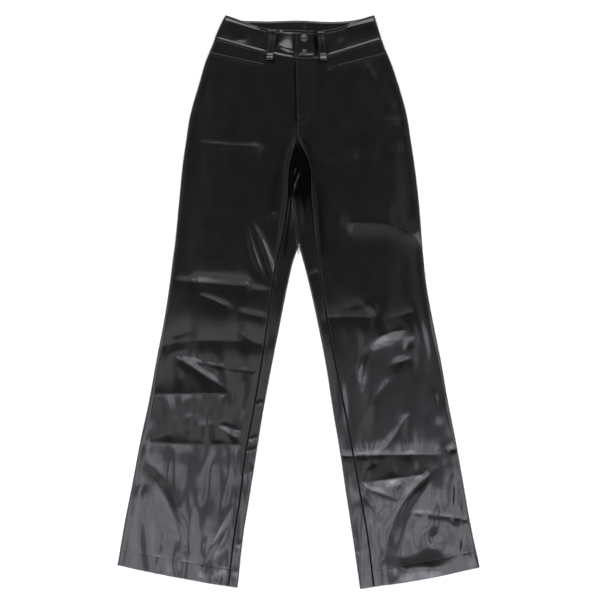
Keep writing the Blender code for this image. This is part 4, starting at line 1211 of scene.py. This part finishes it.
gap = SEAM_GAP / 2
band_piece(
    "waistband_front_right_cloth", "waistband_front_right",
    band_surface(RIGHT_LEG, FRONT_BAND_SEAM, FRONT_BAND_TOP, LAP_END_X, 1), 1, FRONT_BAND_COLUMNS, 0.0,
)
band_piece(
    "waistband_front_left_cloth", "waistband_front_left",
    band_surface(LEFT_LEG, FRONT_BAND_SEAM, FRONT_BAND_TOP, OPENING_X, 1, True),
    -1, FRONT_BAND_COLUMNS, LAPPED_CROWD,
)
band_piece(
    "waistband_back_right_cloth", "waistband_back_right",
    band_surface(RIGHT_LEG, BACK_BAND_SEAM, BACK_BAND_TOP, CENTRE_BACK_X - gap, -1),
    -1, BACK_BAND_COLUMNS, BACK_BAND_CROWD,
)
band_piece(
    "waistband_back_left_cloth", "waistband_back_left",
    band_surface(LEFT_LEG, BACK_BAND_SEAM, BACK_BAND_TOP, CENTRE_BACK_X + gap, -1),
    1, BACK_BAND_COLUMNS, BACK_BAND_CROWD,
)

# %% [markdown]
# ## Belt loops
# A belt loop is a narrow strap, folded in three and stitched down at both ends. It is a rounded
# profile carried along a path: over the band, bulging a little in the middle, and down onto the
# front below the waist seam.

# %% Belt loops
LOOP_THICKNESS = 1.8
LOOP_BULGE = 1.0
FOOT_BULGE = 1.8
FOOT_AT = 0.86
FOOT_REACH = 0.06
LOOP_ROWS = 44
LOOP_CROWD = 0.5
LOOP_AROUND = 40
LOOP_SQUARENESS = 0.45
LOOP_DITCH = 0.28
LOOP_DITCH_AT = 0.32
LOOP_DITCH_WIDTH = 0.05
LOOP_LENGTH = 57.0
LOOP_END_ROUND = 1.4
LOOP_END_THIN = 0.25
OFF_BAND_FROM = 3.0
OFF_BAND_REACH = 5.0
OFF_BAND_DROP = 0.5
FRONT_LOOPS = (
    {"node": "belt_loop_front_right", "top": (-48.5, 521.5), "foot": (-54.5, 464.5),
     "top_width": 16.0, "foot_width": 12.0, "rests_on": "waistband_front_right"},
    {"node": "belt_loop_front_left", "top": (43.5, 520.0), "foot": (49.5, 463.5),
     "top_width": 13.0, "foot_width": 12.5, "rests_on": "waistband_front_left"},
)
BACK_LOOP_THICKNESS = 1.5
BACK_LOOP_WIDTH = 13.0
BACK_LOOP_ROWS = 30
BACK_LOOPS = (
    {"node": "belt_loop_back_right", "x": -92.0, "top": 540.0, "foot": 483.0},
    {"node": "belt_loop_back_centre", "x": 13.1, "top": 540.0, "foot": 475.0},
    {"node": "belt_loop_back_left", "x": 104.0, "top": 540.0, "foot": 481.0},
)


def tube(name, rings, material, node):
    """A closed tube through rings of points, with a fan over each end."""
    rows, count = rings.shape[:2]
    index = np.arange(rows * count).reshape(rows, count)
    faces = grid_quads(np.concatenate([index, index[:, :1]], axis=1)).tolist()
    faces.append(index[0, ::-1].tolist())
    faces.append(index[-1].tolist())
    return add_piece(name, rings.reshape(-1, 3), faces, [material], None, node)


def strap_profile(thickness, ditches):
    """Rounded strap: a squared oval, with two ditches of stitches on its top face."""
    turn = (np.arange(LOOP_AROUND) + 0.5) / LOOP_AROUND * 2 * math.pi
    across = 0.5 * np.sign(np.cos(turn)) * np.abs(np.cos(turn)) ** LOOP_SQUARENESS
    height = 0.5 * np.sign(np.sin(turn)) * np.abs(np.sin(turn)) ** LOOP_SQUARENESS
    from_ditch = (np.abs(across) - LOOP_DITCH_AT) / LOOP_DITCH_WIDTH
    ditch = ditches * np.exp(-(from_ditch ** 2)) * (height > 0)
    return across, (height + 0.5) * thickness - ditch


def front_loop(loop):
    """A front loop: top to foot in a straight line, its base on the higher edge of the band, with
    a sine squared as its bulge and a bell curve as the fold above its foot."""
    top = np.array(loop["top"])
    foot = np.array(loop["foot"])
    share = close_to_ends(LOOP_ROWS, 0.0, 1.0, LOOP_CROWD)
    centre = top + share[:, None] * (foot - top)
    width = loop["top_width"] + share * (loop["foot_width"] - loop["top_width"])
    highest = np.maximum(
        band_face(centre[:, 0] - width / 2, centre[:, 1]),
        band_face(centre[:, 0] + width / 2, centre[:, 1]),
    )
    seam_y = smooth_curve(foot[:1], FRONT_BAND_SEAM["x"], FRONT_BAND_SEAM["y"])[0]
    off_band = smoothstep((seam_y + OFF_BAND_FROM - centre[:, 1]) / OFF_BAND_REACH)
    bulge = LOOP_BULGE * np.sin(math.pi * share) ** 2
    bulge = bulge + FOOT_BULGE * np.exp(-(((share - FOOT_AT) / FOOT_REACH) ** 2))
    base = highest + SEAM_GAP + bulge - off_band * BAND_PROUD * OFF_BAND_DROP
    across, height = strap_profile(LOOP_THICKNESS, LOOP_DITCH)
    ends = np.clip(np.minimum(share, 1 - share) * LOOP_LENGTH / LOOP_END_ROUND, 0.0, 1.0)
    thin = np.sqrt(1 - (1 - ends) ** 2) * (1 - LOOP_END_THIN) + LOOP_END_THIN
    x = centre[:, :1] + width[:, None] * across
    y = np.broadcast_to(centre[:, 1:], x.shape)
    rings = np.stack([x, y, base[:, None] + height * thin[:, None]], axis=-1)
    item = tube(loop["node"] + "_cloth", rings[::-1], leather, loop["node"])


def back_loop(loop):
    """A back loop, pressed flat under the band."""
    levels = np.linspace(loop["top"], loop["foot"], BACK_LOOP_ROWS)
    across, height = strap_profile(BACK_LOOP_THICKNESS, 0.0)
    x = loop["x"] + BACK_LOOP_WIDTH * across
    rings = np.stack([
        np.broadcast_to(x, (BACK_LOOP_ROWS, LOOP_AROUND)),
        np.repeat(levels[:, None], LOOP_AROUND, axis=1),
        np.broadcast_to(height, (BACK_LOOP_ROWS, LOOP_AROUND)),
    ], axis=-1)
    item = tube(loop["node"] + "_cloth", rings[::-1], leather, loop["node"])


for loop in FRONT_LOOPS:
    front_loop(loop)
for loop in BACK_LOOPS:
    back_loop(loop)
print("belt loops:", len(FRONT_LOOPS) + len(BACK_LOOPS))

# %% [markdown]
# ## The snaps
# A snap's cap is pressed from sheet metal and lacquered black: a rolled rim round a shallow pan
# with a low dome. It is a turned profile, and its lacquer is mottled and finely scratched, so
# that its gloss isn't even.

# %% Snap caps
SNAPS = (
    {"node": "snap_upper", "x": 11.5, "y": 506.0, "radius": 7.5, "height": 2.6},
    {"node": "snap_lower", "x": 12.0, "y": 479.5, "radius": 5.4, "height": 2.2},
)
SNAP_PROFILE = columns(("radius", "height"), (
    (0.92, 0.00), (0.98, 0.12), (1.00, 0.35), (0.98, 0.62), (0.93, 0.82), (0.86, 0.92), (0.79, 0.90),
    (0.73, 0.80), (0.67, 0.72), (0.60, 0.74), (0.52, 0.84), (0.40, 0.95), (0.26, 1.00), (0.12, 1.02),
    (0.03, 1.02),
))
SNAP_SIDES = 72


def lacquered_metal():
    """Black lacquer on metal: mottled, with fine scratches in its roughness."""
    material, tree, shader = new_material(
        "black_lacquered_metal", (0.02, 0.02, 0.022), 0.25, metallic=0.6, coat=0.6, coat_roughness=0.08
    )
    mottle = object_noise(tree, 700.0)
    vary(tree, shader, "Base Color", mottle, (0.015, 0.015, 0.016), (0.06, 0.06, 0.064), 0.35, 0.75)
    scratch = object_noise(tree, 1800.0, 8.0, 0.7)
    vary(tree, shader, "Roughness", scratch, 0.18, 0.36, 0.4, 0.7)
    add_bump(tree, shader, ((scratch.outputs["Fac"], 0.00002, 0.3),))
    return material


def snap_cap(node, x, y, radius, height):
    """The profile turned round the snap's middle: radius times cosine and sine, over the band."""
    turn = np.arange(SNAP_SIDES) / SNAP_SIDES * 2 * math.pi
    radii = SNAP_PROFILE["radius"][:, None] * radius
    heights = band_face(x, y) + SEAM_GAP + SNAP_PROFILE["height"][:, None] * height
    around = radii * np.ones_like(turn)
    rings = np.stack([x + around * np.cos(turn), y + around * np.sin(turn), heights + 0 * around], axis=-1)
    tube(node + "_cap", rings, snap_lacquer, node)


snap_lacquer = lacquered_metal()
for snap in SNAPS:
    snap_cap(**snap)
print("snap caps:", len(SNAPS))

# %% [markdown]
# ## The zip behind the fly
# The zip is closed and lies hidden behind the fly: a woven tape with a row of coil teeth on its
# inner side. The tape hangs one wall under the lowest front edge, so nothing cuts through it.

# %% Zip tape
ZIP_TOP = 466.0
ZIP_BOTTOM = 340.0
ZIP_TAPE_HALF_WIDTH = 13.0
ZIP_TAPE = 0.8
ZIP_ROWS = 60
ZIP_COLUMNS = 12


def woven_tape():
    """Matt black tape: crossed waves for its warp and weft."""
    material, tree, shader = new_material("woven_zip_tape", (0.012, 0.012, 0.012), 0.8, specular=0.25)
    fibre = object_noise(tree, 1200.0)
    vary(tree, shader, "Base Color", fibre, (0.007, 0.007, 0.007), (0.02, 0.02, 0.021))
    warp = object_waves(tree, 500.0, "X")
    weft = object_waves(tree, 500.0, "Y")
    add_bump(tree, shader, ((warp.outputs["Fac"], 0.0001, 0.5), (weft.outputs["Fac"], 0.0001, 0.5)))
    return material


def zip_base(levels):
    """Height under the lowest front edge at each level, less a wall and a gap."""
    beside = -ZIP_TAPE_HALF_WIDTH
    lowest = np.minimum.reduce([
        front_height(leg, levels, section(leg, levels).front_end + past)
        for leg, past in ((RIGHT_LEG, beside), (RIGHT_LEG, 0.0), (LEFT_LEG, beside))
    ])
    return lowest - WALL - SEAM_GAP - FLY_SINK


def zip_middle(levels):
    """Where the centre front lies at each level."""
    return np.interp(levels, CENTRE_FRONT["level"], CENTRE_FRONT["x"])


def zip_tape():
    """A flat strip: its outline of columns, out and back, carried down the centre front."""
    levels = np.linspace(ZIP_TOP, ZIP_BOTTOM, ZIP_ROWS)
    out = np.linspace(-1, 1, ZIP_COLUMNS) * ZIP_TAPE_HALF_WIDTH
    edge_x = np.concatenate([out, out[::-1]])
    edge_z = np.repeat([0.0, -ZIP_TAPE], ZIP_COLUMNS)
    rings = np.stack([
        zip_middle(levels)[:, None] + edge_x,
        np.repeat(levels[:, None], len(edge_x), axis=1),
        zip_base(levels)[:, None] + edge_z,
    ], axis=-1)
    tube("fly_zip_tape", rings[::-1], tape, "fly_zip")
    print("zip tape:", ZIP_TOP - ZIP_BOTTOM, "mm long")


tape = woven_tape()
zip_tape()

# %% [markdown]
# ## The zip's teeth
# Every tooth is the same small tapered bar. One array of places down the centre, added to one
# array of corners, sets them all at once.

# %% Zip teeth
ZIP_TEETH_HALF_WIDTH = 3.0
ZIP_TEETH = 1.0
ZIP_PITCH = 1.5
ZIP_TOOTH_SHARE = 0.35
ZIP_TOOTH_SEAT = 0.9
BAR_CORNERS = np.array([
    (-1, -1, 0), (1, -1, 0), (1, 1, 0), (-1, 1, 0),
    (-0.8, -0.5, -1), (0.8, -0.5, -1), (0.8, 0.5, -1), (-0.8, 0.5, -1),
])
BAR_SIDES = np.array([
    (0, 1, 2, 3), (7, 6, 5, 4), (0, 4, 5, 1), (1, 5, 6, 2), (2, 6, 7, 3), (3, 7, 4, 0),
])


def zip_teeth():
    """A bar at every pitch, seated in the tape's inner face: places plus scaled corners."""
    at = np.arange(ZIP_BOTTOM + ZIP_PITCH, ZIP_TOP - ZIP_PITCH, ZIP_PITCH)
    places = np.stack([zip_middle(at), at, zip_base(at) - ZIP_TAPE * ZIP_TOOTH_SEAT], axis=-1)
    scale = np.array([ZIP_TEETH_HALF_WIDTH, ZIP_PITCH * ZIP_TOOTH_SHARE, ZIP_TEETH])
    corners = (places[:, None] + BAR_CORNERS * scale).reshape(-1, 3)
    offset = (np.arange(len(at)) * len(BAR_CORNERS))[:, None, None]
    quads = (BAR_SIDES[None] + offset).reshape(-1, 4)
    add_piece("fly_zip_teeth", corners, quads, [tape], None, None)
    print("zip teeth:", len(at))


zip_teeth()

# %% [markdown]
# ## Stitches
# Thread shows as short raised dashes. One stitch is a small spindle, and a row of them is that
# spindle repeated along a line on the cloth, all worked out as one array. The lines follow the
# ditches: hems, pocket edges, band edges and the curved double row of the fly.

# %% Stitch builder
STITCH_PITCH = 3.4
STITCH_LENGTH = 2.5
STITCH_RADIUS = 0.26
STITCH_SHAPE = columns(("along", "radius"), (
    (-0.5, 0.25), (-0.38, 0.8), (0.0, 1.0), (0.38, 0.8), (0.5, 0.25),
))
STITCH_SIDES = 6
AIM = 0.5


def sewing_thread():
    """Black thread with a low sheen and a twist of fine bands."""
    material, tree, shader = new_material(
        "black_sewing_thread", (0.009, 0.009, 0.0095), 0.5, specular=0.25
    )
    fibre = object_noise(tree, 1500.0)
    vary(tree, shader, "Base Color", fibre, (0.01, 0.01, 0.011), (0.03, 0.03, 0.032))
    twist = object_waves(tree, 900.0, "DIAGONAL")
    add_bump(tree, shader, ((twist.outputs["Fac"], 0.00008, 0.6),))
    return material


def stitch_points(line, pitch=STITCH_PITCH, length=STITCH_LENGTH, radius=STITCH_RADIUS):
    """Rings of all stitches of a line: each ring is its centre plus the spindle's radius times a
    circle square to the line's direction."""
    steps = np.linalg.norm(np.diff(line, axis=0), axis=1)
    travel = np.concatenate([[0.0], np.cumsum(steps)])
    at = np.arange(pitch / 2, travel[-1], pitch)
    centre, ahead, behind = (
        np.stack([np.interp(at + step, travel, line[:, axis]) for axis in range(3)], axis=1)
        for step in (0.0, AIM, -AIM)
    )
    direction = ahead - behind
    direction /= np.linalg.norm(direction, axis=1, keepdims=True)
    beside = np.cross(direction, np.array([0.0, 0.0, 1.0]))
    beside /= np.linalg.norm(beside, axis=1, keepdims=True)
    over = np.cross(beside, direction)
    turn = np.arange(STITCH_SIDES) / STITCH_SIDES * 2 * math.pi
    circle = np.cos(turn)[:, None] * beside[:, None] + np.sin(turn)[:, None] * over[:, None]
    along = STITCH_SHAPE["along"][:, None] * length * direction[:, None]
    swelling = STITCH_SHAPE["radius"][:, None, None] * radius * circle[:, None]
    return centre[:, None, None] + along[:, :, None] + swelling


def add_stitches(name, lines, **sizes):
    """One joined mesh of the stitches of several lines."""
    rings = np.concatenate([stitch_points(line, **sizes) for line in lines])
    count, rows, sides = rings.shape[:3]
    index = np.arange(rows * sides).reshape(rows, sides)
    quads = grid_quads(np.concatenate([index, index[:, :1]], axis=1))
    offset = (np.arange(count) * rows * sides)[:, None, None]
    body = (quads[None] + offset).reshape(-1, 4).tolist()
    ends = (np.stack([index[0, ::-1], index[-1]])[None] + offset).reshape(-1, sides).tolist()
    add_piece(name, rings.reshape(-1, 3), body + ends, [thread], None, None)
    print(name, count, "stitches")


thread = sewing_thread()
print("mm from stitch to stitch:", STITCH_PITCH)

# %% [markdown]
# ## Where the stitches run
# Each line is read from the surface that it is sewn on, so it follows every crease, and is then
# moved up by a hair. Hems, pockets and bands have their lines at fixed levels or wraps. The fly's
# line is drawn on the table, so each of its points is brought onto the front by correction.

# %% Stitch lines
ABOVE_CLOTH = 0.12
LEGS_WITH_POCKETS = ((RIGHT_LEG, RIGHT_POCKET), (LEFT_LEG, LEFT_POCKET))
HEM_LINE_POINTS = 200
STRIP_LINE_POINTS = 40
POCKET_LINE_POINTS = 120
BAND_LINE_POINTS = 240
LAP_LINE_POINTS = 60
BAND_HEIGHT = 48.0
LEFT_BAND_LENGTH = 158.0


def raised(points):
    """Points of a line, moved just above the cloth."""
    return points + np.array([0.0, 0.0, ABOVE_CLOTH])


def hem_lines():
    """The hem's row on each front and on each strip beside it."""
    lines = []
    for leg, pocket in LEGS_WITH_POCKETS:
        level = np.full(HEM_LINE_POINTS, leg["level"][0] + HEM_DEPTH)
        front = np.linspace(0.7, 1.985, HEM_LINE_POINTS)
        strip = np.linspace(4.05, 4.9, STRIP_LINE_POINTS)
        lines.append(raised(front_surface(leg, pocket)(level, front)))
        lines.append(raised(back_surface(leg)(level[:STRIP_LINE_POINTS], strip)))
    return lines


def pocket_lines():
    """A row below each pocket's turned edge."""
    lines = []
    for leg, pocket in LEGS_WITH_POCKETS:
        surface = front_surface(leg, pocket, FLY_PROUD if leg is LEFT_LEG else 0.0)
        wraps = np.linspace(0.8, wrap_at(leg, pocket) - 2 * POCKET_CORNER, POCKET_LINE_POINTS)
        levels = level_at(wraps, surface, pocket_edge(pocket, DITCH_FROM_EDGE))
        lines.append(raised(surface(levels, wraps)))
    return lines


def band_lines():
    """Rows along both edges of the front band, and one down its lapped end."""
    lines = []
    for leg, end_x, lapped in ((RIGHT_LEG, OPENING_X - 1.0, False), (LEFT_LEG, OPENING_X, True)):
        surface = band_surface(leg, FRONT_BAND_SEAM, FRONT_BAND_TOP, end_x, 1, lapped)
        wraps = np.linspace(0.6, 1.995, BAND_LINE_POINTS)
        for level in (DITCH_FROM_EDGE / BAND_HEIGHT, 1 - DITCH_FROM_EDGE / BAND_HEIGHT):
            lines.append(raised(surface(np.full(BAND_LINE_POINTS, level), wraps)))
    levels = np.linspace(0.1, 0.9, LAP_LINE_POINTS)
    at_lap = np.full(LAP_LINE_POINTS, 2 - DITCH_FROM_EDGE / LEFT_BAND_LENGTH)
    lines.append(raised(surface(levels, at_lap)))
    return lines


# %% Stitches of the fly
FLY_STITCHES = {
    "x": np.array([33.0, 32.6, 31.8, 30.0, 24.0, 14.0, 3.0]),
    "y": np.array([464.0, 430.0, 392.0, 370.0, 354.0, 344.5, 339.0]),
}
FLY_ROW_GAP = 4.5
FLY_ROW_RISE = 3.0
FLY_LINE_POINTS = 160
LINE_CORRECTIONS = 12
TACK_LEVELS = np.arange(352.0, 360.0, 0.9)
TACK_X = (0.0, 3.4)
TACK = {"pitch": 3.4, "length": 3.2, "radius": 0.42}


def on_left_front(x, y):
    """Points of the left front at places on the table: level and wrap are corrected until they
    meet."""
    surface = front_surface(LEFT_LEG, LEFT_POCKET, FLY_PROUD)
    level = y.copy()
    wrap = np.full_like(x, 1.9)
    for correction in range(LINE_CORRECTIONS):
        reached = surface(level, wrap)
        level = level + (y - reached[:, 1])
        cut = section(LEFT_LEG, level)
        wrap = wrap + (x - reached[:, 0]) / (cut.run * (cut.front_end - EDGE_RADIUS))
    return surface(level, wrap)


def fly_lines():
    """The curved double row that holds the fly, the inner one drawn in and up."""
    share = np.linspace(0.0, 1.0, FLY_LINE_POINTS)
    knots = np.linspace(0.0, 1.0, len(FLY_STITCHES["x"]))
    x = smooth_curve(share, knots, FLY_STITCHES["x"])
    y = smooth_curve(share, knots, FLY_STITCHES["y"])
    inner = on_left_front(x - FLY_ROW_GAP, y + FLY_ROW_RISE * share)
    return [raised(on_left_front(x, y)), raised(inner)]


def bar_tack_lines():
    """One thick stitch at each level of the tack that holds the foot of the fly."""
    return [raised(on_left_front(np.array(TACK_X), np.array([y, y]))) for y in TACK_LEVELS]


add_stitches("hem_stitches", hem_lines())
add_stitches("pocket_stitches", pocket_lines())
add_stitches("waistband_stitches", band_lines())
add_stitches("fly_stitches", fly_lines())
add_stitches("fly_bar_tack", bar_tack_lines(), **TACK)

# %% [markdown]
# ## The floor
# The trousers lie on a plain white sheet. It lies a hair below them, so that two faces never
# share one plane, and it isn't part of the object.

# %% Floor
FLOOR_HALF = 4.0
FLOOR_DROP = 0.0006
FLOOR_CORNERS = ((-1, -1), (1, -1), (1, 1), (-1, 1))


def white_floor():
    """Plain white sheet."""
    material, tree, shader = new_material("white_floor", (0.93, 0.93, 0.93), 0.9, specular=0.0)
    vary(tree, shader, "Base Color", object_noise(tree, 40.0), 0.925, 0.935)
    return material


floor_mesh = bpy.data.meshes.new("floor")
floor_points = [(x * FLOOR_HALF, y * FLOOR_HALF, -FLOOR_DROP) for x, y in FLOOR_CORNERS]
floor_mesh.from_pydata(floor_points, [], [(0, 1, 2, 3)])
floor_mesh.materials.append(white_floor())
floor = bpy.data.objects.new("floor", floor_mesh)
bpy.context.scene.collection.objects.link(floor)
print("floor:", 2 * FLOOR_HALF, "m square")

# %% [markdown]
# ## The lamps
# Black gloss shows only what it mirrors, so the lamps are placed for their reflections, and soft
# boxes overhead do that best. Flat cloth under the camera mirrors the spot twice as far from the
# middle as itself, and a slope of one degree moves that spot by nine centimetres. Two wide boxes
# and seven bars beyond the hems give the lower legs their streaks. Brighter strips further out
# show only in creases that face them. Where lamps overlap, the lower one hides the higher, so
# each group has its own height. Lamps made for gloss alone light nothing else.

# %% Lamps
COOL_WHITE = (0.9, 0.92, 1.0)
COOL_BELOW = -0.7
BAR_PLACE = (-1.19, 2.5)
BAR_DEPTH = 1.12
BARS = (
    (-1.02, 0.14, 3.7), (-0.8, 0.14, 3.7), (-0.56, 0.16, 3.7), (-0.04, 0.14, 3.7),
    (0.34, 0.16, 4.6), (0.64, 0.16, 4.6), (0.96, 0.14, 4.6),
)
WORLD_LIGHT = 0.03


def add_lamp(name, at, look, size, radiance, mirrored=True, lit=True):
    """A flat lamp that faces a point on the floor. Its power is pi times its area times its
    radiance. A lamp that isn't mirrored lights the floor without showing in the gloss, and one
    that isn't lit shows only there. The lamps beyond the hems are a little cooler."""
    data = bpy.data.lights.new(name, "AREA")
    data.shape = "RECTANGLE"
    data.size, data.size_y = size
    data.energy = radiance * math.pi * size[0] * size[1]
    data.color = COOL_WHITE if at[1] < COOL_BELOW else (1.0, 1.0, 1.0)
    lamp = bpy.data.objects.new(name, data)
    lamp.location = at
    facing = Vector((*look, 0.0)) - Vector(at)
    lamp.rotation_euler = facing.to_track_quat("-Z", "Y").to_euler()
    lamp.visible_glossy = mirrored
    lamp.visible_diffuse = lit
    bpy.context.scene.collection.objects.link(lamp)


def add_lamp_pair(name, at, look, size, radiance, **shows):
    """The same lamp on the left and the right: its x and its aim's x change sign."""
    for side, sign in (("left", -1), ("right", 1)):
        place = (sign * at[0], *at[1:])
        add_lamp(f"{side}_{name}", place, (sign * look[0], look[1]), size, radiance, **shows)


add_lamp("soft_box", (0.0, -0.92, 2.6), (0.0, -0.92), (3.0, 1.66), 0.42)
add_lamp("lower_box", (0.0, -1.2, 2.55), (0.0, -1.2), (3.0, 1.1), 0.3)
for number, (x, width, radiance) in enumerate(BARS, 1):
    add_lamp(f"bar_{number}", (x, *BAR_PLACE), (x, BAR_PLACE[0]), (width, BAR_DEPTH), radiance)
add_lamp("far_box", (0.0, -1.6, 2.45), (0.0, -0.3), (2.4, 0.55), 3.0)
add_lamp_pair("box", (1.45, -0.78, 2.5), (0.6, -0.78), (2.1, 0.7), 2.8, lit=False)
add_lamp("bright_strip", (0.05, -2.05, 2.4), (0.0, -0.3), (2.2, 0.4), 11.0)
add_lamp("knee_box", (-0.36, -0.3, 2.53), (-0.36, -0.3), (0.6, 0.42), 0.7, lit=False)
add_lamp("top_strip", (0.0, 1.95, 2.35), (0.0, 0.3), (2.2, 1.1), 4.6, lit=False)
add_lamp_pair("hip_box", (0.8, 0.6, 2.58), (0.8, 0.6), (0.5, 1.3), 0.27, lit=False)
add_lamp_pair("glint", (2.2, 0.3, 1.9), (0.0, 0.0), (2.0, 0.5), 4.5, lit=False)
add_lamp_pair("panel", (2.2, 0.5, 1.9), (0.0, 0.2), (2.4, 0.8), 15.0, mirrored=False)

world = bpy.data.worlds.new("studio")
world.use_nodes = True
background = world.node_tree.nodes["Background"]
background.inputs["Color"].default_value = (1.0, 1.0, 1.0, 1.0)
background.inputs["Strength"].default_value = WORLD_LIGHT
bpy.context.scene.world = world
bpy.context.scene.view_settings.view_transform = "Standard"
print("lamps:", len(bpy.data.lights))

# %% [markdown]
# ## The camera
# The camera looks straight down from a ladder's height. Its lens follows from similar triangles:
# sensor over lens is the view's width over the distance to the middle of the lay.

# %% Camera
CAMERA_HEIGHT = 2.6
PIXEL = 1.92
PICTURE_WIDTH = 600
CAMERA_RIGHT = 2.0
CAMERA_UP = 2.5
SENSOR = 36.0

camera_data = bpy.data.cameras.new("overhead_camera")
camera_data.sensor_width = SENSOR
to_cloth = CAMERA_HEIGHT - LAYERS * MILLIMETRE / 2
camera_data.lens = SENSOR * to_cloth / (PICTURE_WIDTH * PIXEL * MILLIMETRE)
camera = bpy.data.objects.new("overhead_camera", camera_data)
camera.location = (
    (CAMERA_RIGHT * PIXEL - ORIGIN_X) * MILLIMETRE,
    (CAMERA_UP * PIXEL - ORIGIN_Y) * MILLIMETRE,
    CAMERA_HEIGHT,
)
bpy.context.scene.collection.objects.link(camera)
bpy.context.scene.camera = camera
print("camera over", camera.location[:], "lens", camera_data.lens)
